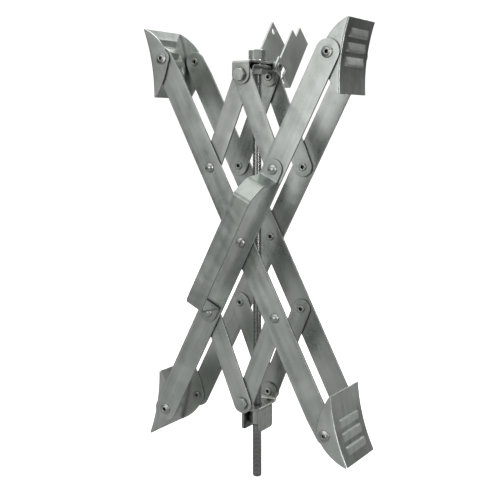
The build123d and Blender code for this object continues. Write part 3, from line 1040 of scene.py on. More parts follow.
# ---------------------------------------------------------------- tyre pads
def arc_through(p1: Point, p2: Point, p3: Point) -> Callable[[float], float]:
    """Find the arc through three points as a height over distance.

    Args:
        p1: First point.
        p2: Second point.
        p3: Third point.

    Returns:
        A function that gives the arc's height, on the side where the points lie.
    """
    (x1, y1), (x2, y2), (x3, y3) = p1, p2, p3
    d = 2 * (x1 * (y2 - y3) + x2 * (y3 - y1) + x3 * (y1 - y2))
    s1, s2, s3 = x1 * x1 + y1 * y1, x2 * x2 + y2 * y2, x3 * x3 + y3 * y3
    cx = (s1 * (y2 - y3) + s2 * (y3 - y1) + s3 * (y1 - y2)) / d
    cy = (s1 * (x3 - x2) + s2 * (x1 - x3) + s3 * (x2 - x1)) / d
    radius = math.hypot(x1 - cx, y1 - cy)
    side = math.copysign(1.0, y2 - cy)

    def height(x: float) -> float:
        """Height of the arc at a distance."""
        return cy + side * math.sqrt(max(radius**2 - (x - cx) ** 2, 0.0))

    return height


def ease(value: float) -> float:
    """Smooth step from 0 to 1."""
    t = min(max(value, 0.0), 1.0)
    return t * t * (3 - 2 * t)


@dataclass
class TyrePad:
    """One pressed pad: a curved ribbed face with an ear bent down at each side."""

    finish: ZincPlate
    node: str
    body: str
    joint: str
    right: int
    up: int
    lean: float
    half_width: float
    length: float = 89.0 * MM
    offset: float = -2.0 * MM
    face: float = 17.2 * MM
    curve: float = 235.0 * MM
    sheet: float = 2.3 * MM
    bend: float = 2.6 * MM
    ear_depth: float = 11.0 * MM
    least_ear: float = 0.1 * MM
    shoulder: Point = (26.0 * MM, 1.5 * MM)
    rib_middle: float = 8.5 * MM
    rib_pitch: float = 17.0 * MM
    rib_width: float = 11.0 * MM
    rib_step: float = 1.5 * MM
    rib_rise: float = 3.0 * MM
    rib_length: float = 58.0 * MM
    rib_end: float = 6.5 * MM
    spacing: float = 0.5 * MM
    across_spacing: float = 1.3 * MM
    weld: float = 0.12 * MM
    edge: float = 0.2 * MM

    def face_height(self, a: float) -> float:
        """Height of the curved face over the pivot at a distance along the pad."""
        return self.face + self.curve - math.sqrt(self.curve**2 - (a - self.offset) ** 2)

    def rib_height(self, a: float, y: float) -> float:
        """Find how far the pressed ribs raise the face.

        Args:
            a: Distance along the pad.
            y: Distance across it.

        Returns:
            The height that the ribs add.
        """
        ends = ease((self.rib_length / 2 - abs(y)) / self.rib_end)
        if ends <= 0:
            return 0.0
        total = 0.0
        for place in (-1, 0, 1):
            foot = self.rib_middle + place * self.rib_pitch - self.rib_width / 2
            if foot < a < foot + self.rib_width:
                rise = ease((a - foot) / self.rib_step)
                fall = 1 - (max(a - foot - self.rib_step, 0.0) / (self.rib_width - self.rib_step)) ** 1.2
                total += self.rib_rise * rise * fall
        return total * ends

    def ear_edge(self, a: float) -> float:
        """Find where an ear's free edge runs.

        Args:
            a: Distance along the pad.

        Returns:
            The edge's height over the pivot.
        """
        nose = self.ear_depth * math.sin(math.radians(45))
        if abs(a) <= nose:
            return -math.sqrt(self.ear_depth**2 - a**2)
        end = self.offset + math.copysign(self.length / 2, a)
        side = math.copysign(1.0, a)
        tip = (end, self.face_height(end) - self.bend - self.least_ear)
        shoulder = (side * self.shoulder[0], self.shoulder[1])
        edge = arc_through(tip, shoulder, (side * nose, -nose))
        return min(edge(a), self.face_height(a) - self.bend - self.least_ear)

    def section(self, a: float) -> list[Point]:
        """Lay out the sheet across the pad.

        Args:
            a: Distance along the pad.

        Returns:
            Points from one ear's edge over the face to the other's.
        """
        top, low = self.face_height(a), self.ear_edge(a)
        shoulder_height = top - self.bend
        ear_steps, bend_steps = 10, 6
        half: list[Point] = []
        for i in range(ear_steps):
            half.append((self.half_width, low + (shoulder_height - low) * i / ear_steps))
        for i in range(bend_steps + 1):
            turn = math.pi / 2 * i / bend_steps
            y = self.half_width - self.bend + self.bend * math.cos(turn)
            half.append((y, shoulder_height + self.bend * math.sin(turn)))
        flat = self.half_width - self.bend
        count = int(2 * flat / self.across_spacing)
        middle = [flat - 2 * flat * i / count for i in range(1, count)]
        face = [(y, top + self.rib_height(a, y)) for y in middle]
        other = [(-y, b) for y, b in reversed(half)]
        return half + face + other

    def skin(self, pivot: Vector) -> bpy.types.Mesh:
        """Build the pad's outer surface, facing outwards.

        Args:
            pivot: Middle of the pad's swivel axis.

        Returns:
            The surface, without thickness.
        """
        lean = math.radians(self.lean)
        along = Vector((self.right * math.sin(lean), 0.0, self.up * math.cos(lean)))
        outward = Vector((self.right * math.cos(lean), 0.0, -self.up * math.sin(lean)))
        count = int(self.length / self.spacing)
        start = self.offset - self.length / 2
        bm = bmesh.new()
        rows = []
        for i in range(count + 1):
            a = start + self.length * i / count
            spots = [pivot + along * a + outward * b + Vector((0.0, y, 0.0)) for y, b in self.section(a)]
            rows.append([bm.verts.new(spot) for spot in spots])
        for first, second in zip(rows, rows[1:]):
            for k in range(len(first) - 1):
                bm.faces.new((first[k], first[k + 1], second[k + 1], second[k]))
        bmesh.ops.remove_doubles(bm, verts=bm.verts, dist=self.weld)
        bm.normal_update()
        centre = min(bm.faces, key=lambda f: (f.calc_center_median() - pivot - outward * self.face).length)
        if centre.normal.dot(outward) < 0:
            bmesh.ops.reverse_faces(bm, faces=bm.faces)
        return plain_mesh(bm, self.node)

    def build(self, joints: dict[str, dict]) -> bpy.types.Object:
        """Build the surface, give it the sheet's thickness and dress it.

        Args:
            joints: The frame's joints by name.

        Returns:
            The finished pad.
        """
        px, _, pz = joints[self.joint]["pos_m"]
        mesh = self.skin(Vector((px, 0.0, pz)))
        mesh.materials.append(self.finish.material(self.right * self.up * self.lean))
        piece = place_mesh(mesh, f"{self.node}_pressing")
        thick = piece.modifiers.new("sheet", "SOLIDIFY")
        thick.thickness = self.sheet
        thick.offset = -1.0
        settle(piece)
        bm = bmesh.new()
        bm.from_mesh(piece.data)
        bmesh.ops.remove_doubles(bm, verts=bm.verts, dist=0.01 * MM)
        round_edges(bm, self.edge, angle=66.0)
        bm.to_mesh(piece.data)
        bm.free()
        even_normals(piece)
        dress(piece, self.body, [self.node])
        return piece


# ---------------------------------------------------------------- rivets and pivots
@dataclass
class RivetTree:
    """Geometry Nodes that set a head on every marked point of one body."""

    name: str = "rivet_setter"
    tree: bpy.types.NodeTree = field(init=False)

    def __post_init__(self) -> None:
        """Build the tree."""
        self.tree = new_group(
            self.name,
            "GeometryNodeTree",
            [
                ("Points", "NodeSocketGeometry", None),
                ("Front Rivet", "NodeSocketObject", None),
                ("Rear Rivet", "NodeSocketObject", None),
                ("Turn", "NodeSocketFloat", 2 * math.pi),
                ("Seed", "NodeSocketInt", 7),
                ("Finish", "NodeSocketMaterial", None),
            ],
            [("Rivets", "NodeSocketGeometry")],
        )
        bench = Bench(self.tree)
        given, out = bench.node("NodeGroupInput"), bench.node("NodeGroupOutput")
        side = bench.node("GeometryNodeInputNamedAttribute", data_type="FLOAT")
        side.inputs["Name"].default_value = "side"
        turned = self._random_turn(bench, given)
        both = bench.node("GeometryNodeJoinGeometry")
        for label, operation, half_turn in (
            ("Front Rivet", "GREATER_THAN", 0.0),
            ("Rear Rivet", "LESS_THAN", math.pi),
        ):
            chosen = bench.node("ShaderNodeMath", operation=operation)
            bench.wire(side.outputs["Attribute"], chosen.inputs[0])
            chosen.inputs[1].default_value = 0.0
            angles = bench.node("ShaderNodeCombineXYZ")
            bench.wire(turned, angles.inputs["Y"])
            angles.inputs["Z"].default_value = half_turn
            heads = self._set_heads(bench, given, label, chosen.outputs[0], angles.outputs[0])
            bench.wire(heads, both.inputs[0])
        real = bench.node("GeometryNodeRealizeInstances")
        finish = bench.node("GeometryNodeSetMaterial")
        bench.wire(both.outputs[0], real.inputs[0])
        bench.wire(real.outputs[0], finish.inputs["Geometry"])
        bench.wire(given.outputs["Finish"], finish.inputs["Material"])
        bench.wire(finish.outputs[0], out.inputs["Rivets"])

    @staticmethod
    def _random_turn(bench: Bench, given: bpy.types.Node) -> bpy.types.NodeSocket:
        """Turn each rivet about its own axis by a seeded angle.

        Args:
            bench: The tree's nodes.
            given: The tree's inputs.

        Returns:
            The angle's socket.
        """
        spin = bench.node("FunctionNodeRandomValue", data_type="FLOAT")
        floats = [s for s in spin.inputs if s.type == "VALUE" and s.enabled]
        floats[0].default_value = 0.0
        bench.wire(given.outputs["Turn"], floats[1])
        bench.wire(given.outputs["Seed"], spin.inputs["Seed"])
        return next(s for s in spin.outputs if s.type == "VALUE" and s.enabled)

    @staticmethod
    def _set_heads(
        bench: Bench,
        given: bpy.types.Node,
        label: str,
        chosen: bpy.types.NodeSocket,
        angles: bpy.types.NodeSocket,
    ) -> bpy.types.NodeSocket:
        """Set one kind of rivet on the points of its side.

        Args:
            bench: The tree's nodes.
            given: The tree's inputs.
            label: The input that holds the rivet.
            chosen: Which points are on this side.
            angles: How each rivet is turned.

        Returns:
            The rivets' socket.
        """
        source = bench.node("GeometryNodeObjectInfo")
        bench.wire(given.outputs[label], source.inputs["Object"])
        setter = bench.node("GeometryNodeInstanceOnPoints")
        bench.wire(given.outputs["Points"], setter.inputs["Points"])
        bench.wire(chosen, setter.inputs["Selection"])
        bench.wire(source.outputs["Geometry"], setter.inputs["Instance"])
        bench.wire(angles, setter.inputs["Rotation"])
        return setter.outputs[0]

    def identifier(self, label: str) -> str:
        """Return the identifier of a named input."""
        inputs = [s for s in self.tree.interface.items_tree if s.in_out == "INPUT"]
        return next(s.identifier for s in inputs if s.name == label)


class HeadStyle(Enum):
    """How a fastener's outer end is shaped."""

    DOME = "dome"
    FLANGED = "flanged"
    HEXAGON = "hexagon"


@dataclass
class Fastener:
    """One rivet or pivot about a front-to-back axis, with its head towards -Y."""

    style: HeadStyle
    outer: float
    inner: float
    shank: float = 4.0 * MM
    dome_radius: float = 6.4 * MM
    dome_height: float = 4.6 * MM
    flange_radius: float = 7.4 * MM
    flange_height: float = 2.8 * MM
    hexagon_apothem: float = 7.25 * MM
    hexagon_height: float = 6.0 * MM
    collar_radius: float = 7.0 * MM
    collar_height: float = 0.8 * MM
    tail_radius: float = 5.2 * MM
    tail_length: float = 2.0 * MM
    bore: float = 2.0 * MM
    bore_depth: float = 5.0 * MM
    segments: int = 48

    def tail(self) -> list[Point]:
        """Draw the flared, drilled tail.

        Returns:
            Its profile, from the head's underside inwards.
        """
        end = -(self.inner - self.tail_length)
        corners = [
            (self.shank, -self.outer),
            (self.shank, -self.inner),
            (self.tail_radius, -self.inner),
            (self.tail_radius - 0.1 * MM, end),
            (self.bore + 0.5 * MM, end),
            (self.bore, end - 1.2 * MM),
        ]
        return rounded(corners, [0.0, 0.0, 0.9 * MM, 1.1 * MM, 0.4 * MM])

    def dome(self) -> list[Point]:
        """Draw a cold-formed dome.

        Returns:
            Its profile, from its crown to its rim.
        """
        steps, brow = 12, math.radians(86)
        points = []
        for i in range(steps + 1):
            turn = brow * i / steps
            radius = self.dome_radius * math.sin(turn) / math.sin(brow)
            points.append((radius if i else 0.0, -self.outer - self.dome_height * math.cos(turn)))
        rim = -self.outer - 0.25 * MM
        return points + [(self.dome_radius + 0.02 * MM, rim), (self.dome_radius - 0.25 * MM, -self.outer)]

    def flange(self) -> list[Point]:
        """Draw a wide flange with a rolled lip round its hole.

        Returns:
            Its profile, from its hole to its rim.
        """
        face = -self.outer
        corners = [
            (self.bore, face - 1.2 * MM),
            (self.bore + 0.3 * MM, face - self.flange_height),
            (self.bore + 1.7 * MM, face - self.flange_height),
            (self.bore + 2.3 * MM, face - self.flange_height + 0.9 * MM),
            (self.flange_radius - 0.8 * MM, face - 1.5 * MM),
            (self.flange_radius, face - 1.0 * MM),
            (self.flange_radius, face),
        ]
        return rounded(corners, [0.7 * MM, 0.7 * MM, 0.5 * MM, 0.8 * MM, 0.5 * MM])

    def mesh(self) -> bpy.types.Mesh:
        """Build the fastener's mesh about its own axis.

        Returns:
            The mesh, closed, with its faces outwards.
        """
        if self.style is HeadStyle.FLANGED:
            return lathe(self.flange() + self.tail(), self.segments, closed=True)
        end = (0.0, -(self.inner - self.tail_length) - self.bore_depth)
        floor = (self.bore, end[1] + 0.6 * MM)
        if self.style is HeadStyle.DOME:
            return lathe([*self.dome(), *self.tail(), floor, end], self.segments, closed=False)
        face = -self.outer - self.collar_height
        collar = [(0.0, face), (self.collar_radius, face), (self.collar_radius, -self.outer)]
        shank = lathe([*collar, *self.tail(), floor, end], self.segments, closed=False)
        head = hexagon_mesh(self.hexagon_apothem, self.collar_height, self.hexagon_height, 0.0, (False, True))
        upright = Matrix.Rotation(math.pi / 2, 4, "X") @ Matrix.Rotation(math.pi / 6, 4, "Z")
        head.transform(Matrix.Translation((0.0, -self.outer, 0.0)) @ upright)
        bm = bmesh.new()
        bm.from_mesh(shank)
        bm.from_mesh(head)
        bm.to_mesh(shank)
        bm.free()
        bpy.data.meshes.remove(head)
        return shank


def hexagon_mesh(
    apothem: float, bottom: float, top: float, bore: float, chamfered: tuple[bool, bool]
) -> bpy.types.Mesh:
    """Build a hexagon about Z with turned chamfers, flats facing +X and -X.

    Args:
        apothem: Half the width across its flats.
        bottom: Its lower end.
        top: Its upper end.
        bore: Radius of its hole, or 0 for none.
        chamfered: Whether the lower and the upper end are chamfered.

    Returns:
        The mesh, closed, with its faces outwards.
    """
    segments, slope, lip = 96, math.tan(math.radians(30)), 0.6 * MM
    crown, widest = 0.96 * apothem, 1.135 * apothem
    bm = bmesh.new()
    angles = [2 * math.pi * i / segments for i in range(segments)]

    def ring(
        radius_at: Callable[[float], float], height_at: Callable[[float], float]
    ) -> list[bmesh.types.BMVert]:
        """Add one ring of vertices."""
        spots = [(radius_at(t) * math.cos(t), radius_at(t) * math.sin(t), height_at(t)) for t in angles]
        return [bm.verts.new(spot) for spot in spots]

    def corner(t: float) -> float:
        """Radius of the slightly rounded hexagon at an angle."""
        sharp = apothem / math.cos((t + math.pi / 6) % (math.pi / 3) - math.pi / 6)
        return min(sharp, widest)

    rings = []
    if bore > 0:
        rings.append(ring(lambda t: bore, lambda t: bottom + lip))
        rings.append(ring(lambda t: bore + lip, lambda t: bottom))
    for chamfer, level, sign in ((chamfered[0], bottom, 1), (chamfered[1], top, -1)):
        edge = [ring(lambda t: crown, lambda t, z=level: z)] if chamfer else []
        drop = slope if chamfer else 0.0
        outer = ring(corner, lambda t, z=level, s=sign, d=drop: z + s * d * (corner(t) - crown))
        rings.extend([*edge, outer] if sign > 0 else [outer, *edge])
    if bore > 0:
        rings.append(ring(lambda t: bore + lip, lambda t: top))
        rings.append(ring(lambda t: bore, lambda t: top - lip))
        rings.append(rings[0])
    for first, second in zip(rings, rings[1:]):
        for i in range(segments):
            k = (i + 1) % segments
            bm.faces.new((first[i], first[k], second[k], second[i]))
    if bore <= 0:
        bm.faces.new(list(reversed(rings[0])))
        bm.faces.new(rings[-1])
    bmesh.ops.recalc_face_normals(bm, faces=bm.faces)
    mesh = plain_mesh(bm, "hexagon")
    shade(mesh, 24.0)
    return mesh


@dataclass
class RivetGroup:
    """All the fasteners of one node, set by the rivet tree."""

    node: str
    body: str
    name: str
    spots: Sequence[tuple[float, float]]
    front: Fastener
    rear: Fastener
    slot: Slot
    finish: ZincPlate
    seed: int

    def build(self, setter: RivetTree) -> bpy.types.Object:
        """Mark the points, set the fasteners on them and dress the result.

        Args:
            setter: The tree that places them.

        Returns:
            The finished piece.
        """
        points = bpy.data.meshes.new(self.name)
        marks = [(x, 0.0, z) for x, z in self.spots]
        points.from_pydata(marks + marks, [], [])
        side = points.attributes.new("side", "FLOAT", "POINT")
        sides = [Face.FRONT.value] * len(marks) + [Face.REAR.value] * len(marks)
        side.data.foreach_set("value", sides)
        piece = place_mesh(points, self.name)
        kinds = (self.front, self.rear)
        sources = [place_mesh(kind.mesh(), f"{self.name}_{i}") for i, kind in enumerate(kinds)]
        modifier = piece.modifiers.new("rivets", "NODES")
        modifier.node_group = setter.tree
        for label, value in (
            ("Front Rivet", sources[0]),
            ("Rear Rivet", sources[1]),
            ("Turn", 0.0 if self.front.style is HeadStyle.HEXAGON else 2 * math.pi),
            ("Seed", self.seed),
            ("Finish", self.finish.material()),
        ):
            modifier[setter.identifier(label)] = value
        settle(piece)
        for source in sources:
            bpy.data.objects.remove(source)
        dress(piece, self.body, [self.node])
        return piece


@dataclass
class Rivets:
    """Every rivet and pivot of the linkage."""

    finishes: Finishes
    joints: dict[str, dict]
    depth: float = 42.0 * MM
    sheet: float = 3.0 * MM
    pitch: float = 3.2 * MM

    def layer(self, number: int) -> float:
        """Distance from the centre plane to a layer's outer face."""
        return self.depth - (number - 1) * self.pitch

    def spot(self, joint: str) -> tuple[float, float]:
        """Where a joint's axis crosses the frame."""
        x, _, z = self.joints[joint]["pos_m"]
        return x, z

    def groups(self) -> list[RivetGroup]:
        """List the groups, one for each node.

        Returns:
            The groups, not yet built.
        """
        under_2, under_3, under_4 = (self.layer(n) - self.sheet for n in (2, 3, 4))
        dome, flange, hexagon = HeadStyle.DOME, HeadStyle.FLANGED, HeadStyle.HEXAGON
        rivet, turned = self.finishes.rivet, self.finishes.turned
        raised = self.depth + self.sheet
        up, low = self.spot("head_level"), self.spot("nut_head_level")
        a_links = [self.spot("upper_right_link_swing"), self.spot("lower_left_link_swing")]
        b_links = [self.spot("upper_left_link_swing"), self.spot("lower_right_link_swing")]
        a_pads = [self.spot("pad_upper_right_swivel"), self.spot("pad_lower_left_swivel")]
        b_pads = [self.spot("pad_upper_left_swivel"), self.spot("pad_lower_right_swivel")]
        plain = Fastener(dome, self.depth, under_2)
        over_grip = Fastener(dome, raised, under_2)
        deep = Fastener(dome, self.layer(2), under_3)
        wide = Fastener(flange, self.depth, under_2)
        pivot_up = Fastener(hexagon, self.depth, under_4, shank=5.0 * MM)
        pivot_low = Fastener(hexagon, self.layer(2), under_4, shank=5.0 * MM)
        rows = [
            ("centre_rivets", "centre", [(0.0, 0.0)], plain, plain, Slot.RIVET, rivet),
            ("arm_a_link_rivets", "arm_a", a_links, over_grip, plain, Slot.RIVET, rivet),
            ("arm_b_link_rivets", "arm_b", b_links, deep, deep, Slot.RIVET, rivet),
            ("arm_a_pad_rivets", "arm_a", a_pads, wide, wide, Slot.RIVET, rivet),
            ("arm_b_pad_rivets", "arm_b", b_pads, wide, wide, Slot.RIVET, rivet),
            ("upper_pivot_bolts", "head", [up], pivot_up, pivot_up, Slot.FASTENER, turned),
            ("lower_pivot_bolts", "nut_head", [low], pivot_low, pivot_low, Slot.FASTENER, turned),
        ]
        return [
            RivetGroup(node, body, f"{node}_formed", spots, front, rear, slot, finish, seed)
            for seed, (node, body, spots, front, rear, slot, finish) in enumerate(rows, start=11)
        ]

    def build(self) -> list[bpy.types.Object]:
        """Build every group with one shared tree."""
        setter = RivetTree()
        return [group.build(setter) for group in self.groups()]


@dataclass
class HingeRivets:
    """The two short rivets that carry the lock cover."""

    finishes: Finishes
    node: str = "cover_hinge_rivets"
    head_radius: float = 5.6 * MM
    head_height: float = 1.6 * MM
    wing_inside: float = 12.6 * MM
    plate_outside: float = 19.0 * MM
    shank: float = 3.0 * MM
    bore: float = 2.0 * MM
    lip: float = 0.3 * MM
    segments: int = 40

    def profile(self) -> list[Point]:
        """Draw one rivet, open through.

        Returns:
            Its profile, from the head inwards.
        """
        out = -self.plate_outside
        corners = [
            (self.bore, out - self.lip),
            (self.bore + self.lip, out - self.head_height),
            (self.head_radius - 0.5 * MM, out - self.head_height),
            (self.head_radius, out - 0.7 * MM),
            (self.head_radius, out),
            (self.shank, out),
            (self.shank, -self.wing_inside),
            (self.bore + self.lip, -self.wing_inside),
            (self.bore, -self.wing_inside - self.lip),
        ]
        return rounded(corners, [0.3 * MM, 0.5 * MM, 0.5 * MM, 0.0, 0.0, 0.2 * MM, 0.2 * MM])

    def build(self, joints: dict[str, dict]) -> bpy.types.Object:
        """Build both rivets as one piece.

        Args:
            joints: The frame's joints by name.

        Returns:
            The finished piece.
        """
        _, y, z = joints["cover_flip"]["pos_m"]
        profile = self.profile()
        bm = bmesh.new()
        for turn in (-math.pi / 2, math.pi / 2):
            one = lathe(profile, self.segments, closed=True)
            one.transform(Matrix.Translation((0.0, y, z)) @ Matrix.Rotation(turn, 4, "Z"))
            bm.from_mesh(one)
            bpy.data.meshes.remove(one)
        mesh = plain_mesh(bm, self.node)
        mesh.materials.append(self.finishes.rivet.material())
        piece = place_mesh(mesh, f"{self.node}_formed")
        dress(piece, "head", [self.node])
        return piece


# ---------------------------------------------------------------- screw and nuts
@dataclass
class LeadScrew:
    """The threaded rod: a coarse right-hand thread from end to end."""

    finishes: Finishes
    node: str = "lead_screw"
    pitch: float = 1.75 * MM
    crest: float = 5.95 * MM
    root: float = 5.02 * MM
    end_radius: float = 4.5 * MM
    steps: int = 22
    crest_share: float = 0.26
    root_share: float = 0.26

    def tooth(self) -> list[Point]:
        """Draw one turn of the thread.

        Returns:
            Share of the pitch and radius at each point, from the root to the crest.
        """
        flank = (1 - self.crest_share - self.root_share) / 2
        return [
            (0.0, self.root),
            (self.root_share, self.root),
            (self.root_share + flank, self.crest),
            (self.root_share + flank + self.crest_share, self.crest),
        ]

    def wind(self, bm: bmesh.types.BMesh, start: float, end: float) -> None:
        """Wind the thread from one end of the rod to the other.

        Args:
            bm: The mesh being edited.
            start: Height of the rod's lower end.
            end: Height of the rod's upper end.
        """
        shape = self.tooth()
        turns = int((end - start) / self.pitch) + 4
        count = turns * self.steps
        grid = []
        for i in range(count):
            angle = 2 * math.pi * i / self.steps
            base = start - 2 * self.pitch + self.pitch * i / self.steps
            column = []
            for share, radius in shape:
                z = base + share * self.pitch
                inside = min(z - start, end - z)
                r = self.end_radius if inside <= 0 else min(radius, self.end_radius + inside)
                spot = (r * math.cos(angle), r * math.sin(angle), min(max(z, start), end))
                column.append(bm.verts.new(spot))
            grid.append(column)
        for i in range(count - 1):
            here, ahead = grid[i], grid[i + 1]
            for k in range(len(shape) - 1):
                bm.faces.new((here[k], ahead[k], ahead[k + 1], here[k + 1]))
            if i + 1 + self.steps < count:
                over, over_ahead = grid[i + self.steps], grid[i + 1 + self.steps]
                bm.faces.new((here[-1], ahead[-1], over_ahead[0], over[0]))

    def build(self) -> bpy.types.Object:
        """Wind the thread along the node's length, close its ends and dress it.

        Returns:
            The finished rod.
        """
        low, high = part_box(self.node)
        bm = bmesh.new()
        self.wind(bm, low.z, high.z)
        bmesh.ops.remove_doubles(bm, verts=bm.verts, dist=0.004 * MM)
        bmesh.ops.dissolve_degenerate(bm, edges=bm.edges, dist=0.002 * MM)
        rims = [e for e in bm.edges if e.is_boundary]
        bmesh.ops.holes_fill(bm, edges=rims, sides=0)
        loose = [v for v in bm.verts if not v.link_faces]
        bmesh.ops.delete(bm, geom=loose, context="VERTS")
        bmesh.ops.recalc_face_normals(bm, faces=bm.faces)
        mesh = plain_mesh(bm, self.node)
        shade(mesh, 26.0)
        mesh.materials.append(self.finishes.thread.material())
        piece = place_mesh(mesh, f"{self.node}_thread")
        dress(piece, "screw", [self.node])
        return piece


@dataclass
class Nuts:
    """The hexagons and washers on the screw."""

    finishes: Finishes
    apothem: float = 9.5 * MM
    bore: float = 6.05 * MM

    def build_hexagon(self, node: str, body: str, chamfered: tuple[bool, bool]) -> bpy.types.Object:
        """Build one chamfered hexagon in place of its node.

        Args:
            node: The node that gives its height.
            body: The body it rides on.
            chamfered: Whether its lower and its upper end are chamfered.

        Returns:
            The finished piece.
        """
        low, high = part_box(node)
        mesh = hexagon_mesh(self.apothem, low.z, high.z, self.bore, chamfered)
        mesh.materials.append(self.finishes.turned.material())
        piece = place_mesh(mesh, f"{node}_hexagon")
        dress(piece, body, [node])
        return piece

    def build(self, nodes: dict[str, bpy.types.Object]) -> list[bpy.types.Object]:
        """Build the head, the two nuts and the two washers.

        Args:
            nodes: The frame's nodes by name.

        Returns:
            The finished pieces.
        """
        made = [
            self.build_hexagon("drive_head", "screw", (False, True)),
            self.build_hexagon("retaining_nut", "screw", (True, True)),
            self.build_hexagon("drive_nut", "nut_head", (True, True)),
        ]
        for node, body in (("head_washer", "screw"), ("thrust_washer", "head")):
            part = SheetPart(node, body, f"{node}_ring", self.finishes.turned, edge=0.3 * MM)
            piece = part.build(nodes)
            made.append(piece)
        return made


# ---------------------------------------------------------------- studio
@dataclass(frozen=True)
class Softbox:
    """One soft rectangular light that faces the object; degrees, metres and watts."""

    name: str
    azimuth: float
    elevation: float
    reach: float
    size: Point
    power: float


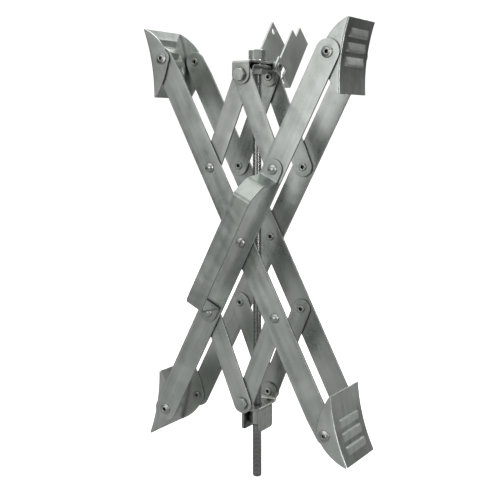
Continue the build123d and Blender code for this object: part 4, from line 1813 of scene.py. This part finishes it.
@dataclass
class Studio:
    """Pale floor, soft lights and the camera."""

    azimuth: float = 29.74
    elevation: float = 6.53
    distance: float = 1.2579
    lens: float = 72.98
    shift: Point = (-0.0366, -0.0018)
    sensor: float = 36.0
    clip: Point = (0.05, 60.0)
    floor_size: float = 14.0
    lights: tuple[Softbox, ...] = (
        Softbox("key", -6.0, 4.0, 2.4, (1.7, 1.0), 7.5),
        Softbox("overhead", 10.0, 78.0, 2.2, (3.0, 3.0), 15.0),
        Softbox("side", 68.0, 8.0, 2.0, (0.4, 1.3), 8.0),
        Softbox("edges", 157.0, 27.0, 2.2, (0.8, 0.3), 1.5),
        Softbox("rim", -150.0, 35.0, 2.4, (1.6, 1.2), 16.0),
    )

    def direction(self, azimuth: float, elevation: float) -> Vector:
        """Direction from the middle of the object, with azimuth from the front to the right."""
        a, e = math.radians(azimuth), math.radians(elevation)
        return Vector((math.sin(a) * math.cos(e), -math.cos(a) * math.cos(e), math.sin(e)))

    def camera(self) -> None:
        """Set up the camera."""
        data = bpy.data.cameras.new("camera")
        data.lens = self.lens
        data.sensor_width = self.sensor
        data.shift_x, data.shift_y = self.shift
        data.clip_start, data.clip_end = self.clip
        camera = bpy.data.objects.new("camera", data)
        bpy.context.scene.collection.objects.link(camera)
        back = self.direction(self.azimuth, self.elevation)
        camera.location = back * self.distance
        camera.rotation_euler = (-back).to_track_quat("-Z", "Y").to_euler()
        bpy.context.scene.camera = camera

    def floor(self, level: float) -> None:
        """Lay the pale floor.

        Args:
            level: Height of the object's lowest point.
        """
        half = self.floor_size / 2
        mesh = bpy.data.meshes.new("floor")
        corners = [(-half, -half, level), (half, -half, level), (half, half, level), (-half, half, level)]
        mesh.from_pydata(corners, [], [(0, 1, 2, 3)])
        mesh.materials.append(self.floor_paint())
        place_mesh(mesh, "floor")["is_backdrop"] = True

    def floor_paint(self) -> bpy.types.Material:
        """Make the floor's paint, pale to the camera and darker to every other ray, with a painted pool of
        light round the object.

        Returns:
            The material.
        """
        material = bpy.data.materials.new("pale_floor")
        material.use_nodes = True
        material.node_tree.nodes.clear()
        bench = Bench(material.node_tree)
        place = bench.node("ShaderNodeTexCoord")
        mottle = bench.ramp(bench.noise(place.outputs["Object"], 3.0, 3.0, 0.5), 0.3, 0.7)
        pale = bench.blend(mottle, (0.9, 0.9, 0.9, 1.0), (0.93, 0.93, 0.93, 1.0))
        lit = bench.node("ShaderNodeBsdfDiffuse")
        bench.wire(pale, lit.inputs["Color"])
        glow = bench.node("ShaderNodeEmission")
        glow.inputs["Color"].default_value = (0.8, 0.8, 0.8, 1.0)
        seen = bench.node("ShaderNodeAddShader")
        bench.wire(lit.outputs[0], seen.inputs[0])
        bench.wire(glow.outputs[0], seen.inputs[1])
        mirrored = bench.node("ShaderNodeBsdfDiffuse")
        # Painted light: to every ray but the camera's the floor is brighter near the object and darker far
        # off.
        reach = bench.node("ShaderNodeVectorMath", operation="LENGTH")
        bench.wire(place.outputs["Object"], reach.inputs[0])
        far = bench.ramp(reach.outputs["Value"], 0.5, 2.6)
        painted_light_pool = bench.blend(far, (0.4, 0.4, 0.4, 1.0), (0.12, 0.12, 0.12, 1.0))
        bench.wire(painted_light_pool, mirrored.inputs["Color"])
        path = bench.node("ShaderNodeLightPath")
        mix = bench.node("ShaderNodeMixShader")
        bench.wire(path.outputs["Is Camera Ray"], mix.inputs[0])
        bench.wire(mirrored.outputs[0], mix.inputs[1])
        bench.wire(seen.outputs[0], mix.inputs[2])
        out = bench.node("ShaderNodeOutputMaterial")
        bench.wire(mix.outputs[0], out.inputs["Surface"])
        return material

    def hang(self, softbox: Softbox) -> None:
        """Hang one light so that it faces the object.

        Args:
            softbox: The light.
        """
        data = bpy.data.lights.new(softbox.name, "AREA")
        data.shape = "RECTANGLE"
        data.size, data.size_y = softbox.size
        data.energy = softbox.power
        light = bpy.data.objects.new(softbox.name, data)
        bpy.context.scene.collection.objects.link(light)
        away = self.direction(softbox.azimuth, softbox.elevation)
        light.location = away * softbox.reach
        light.rotation_euler = (-away).to_track_quat("-Z", "Y").to_euler()
        light.visible_camera = False

    def surroundings(self) -> None:
        """Light the object from all round, brighter above the horizon than below."""
        world = bpy.data.worlds.new("studio")
        bpy.context.scene.world = world
        world.use_nodes = True
        world.node_tree.nodes.clear()
        bench = Bench(world.node_tree)
        place = bench.node("ShaderNodeTexCoord")
        split = bench.node("ShaderNodeSeparateXYZ")
        bench.wire(place.outputs["Generated"], split.inputs[0])
        height = split.outputs["Z"]
        walls = bench.ramp(height, -0.05, 0.22, (0.06, 0.3))
        ceiling = bench.ramp(height, 0.42, 0.85, (0.0, 0.3))
        towards_front = bench.ramp(split.outputs["Y"], 0.3, -0.8, (0.0, 0.22))
        front = bench.maths("MULTIPLY", towards_front, bench.ramp(height, -0.12, 0.1))
        level = bench.maths("ADD", walls, bench.maths("ADD", ceiling, front))
        room = bench.node("ShaderNodeBackground")
        bench.wire(level, room.inputs["Strength"])
        room.inputs["Color"].default_value = (0.97, 1.0, 0.985, 1.0)
        white = bench.node("ShaderNodeBackground")
        white.inputs["Color"].default_value = (1.0, 1.0, 1.0, 1.0)
        white.inputs["Strength"].default_value = 1.1
        path = bench.node("ShaderNodeLightPath")
        mix = bench.node("ShaderNodeMixShader")
        bench.wire(path.outputs["Is Camera Ray"], mix.inputs[0])
        bench.wire(room.outputs[0], mix.inputs[1])
        bench.wire(white.outputs[0], mix.inputs[2])
        out = bench.node("ShaderNodeOutputWorld")
        bench.wire(mix.outputs[0], out.inputs["Surface"])

    def build(self, level: float) -> None:
        """Set up the whole studio.

        Args:
            level: Height of the object's lowest point.
        """
        bpy.context.scene.view_settings.view_transform = "Standard"
        self.camera()
        self.floor(level)
        self.surroundings()
        for softbox in self.lights:
            self.hang(softbox)
        LOG.info("studio built, floor at %.4f m", level)


# ---------------------------------------------------------------- the whole object
def tyre_pads(finish: ZincPlate) -> list[TyrePad]:
    """List the four pads.

    Args:
        finish: The pads' plating.

    Returns:
        The pads, each with the lean and width that its arm gives it.
    """
    inside, outside = 38.8 * MM, 42.0 * MM
    return [
        TyrePad(finish, "pad_upper_right", "pad_ur", "pad_upper_right_swivel", 1, 1, 7.5, inside),
        TyrePad(finish, "pad_upper_left", "pad_ul", "pad_upper_left_swivel", -1, 1, 10.0, outside),
        TyrePad(finish, "pad_lower_left", "pad_ll", "pad_lower_left_swivel", -1, -1, 10.5, inside),
        TyrePad(finish, "pad_lower_right", "pad_lr", "pad_lower_right_swivel", 1, -1, 15.0, outside),
    ]


def clear_start_scene() -> None:
    """Remove what a new file starts with."""
    for thing in list(bpy.data.objects):
        bpy.data.objects.remove(thing)


def main() -> None:
    """Build the stabiliser round its frame, then the studio."""
    logging.basicConfig(level=logging.INFO, format="%(name)s: %(message)s")
    clear_start_scene()
    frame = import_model()
    cad_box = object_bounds()
    nodes = frame["nodes"]
    joints = {joint["name"]: joint for joint in frame["joints"]}
    finishes = Finishes()
    ScissorFrame(finishes).build(nodes)
    GrabHandle(finishes.grip).build()
    for pad in tyre_pads(finishes.formed):
        pad.build(joints)
    Rivets(finishes, joints).build()
    HingeRivets(finishes).build(joints)
    LeadScrew(finishes).build()
    Nuts(finishes).build(nodes)
    Studio().build(cad_box[0].z)


if __name__ == "__main__":
    main()
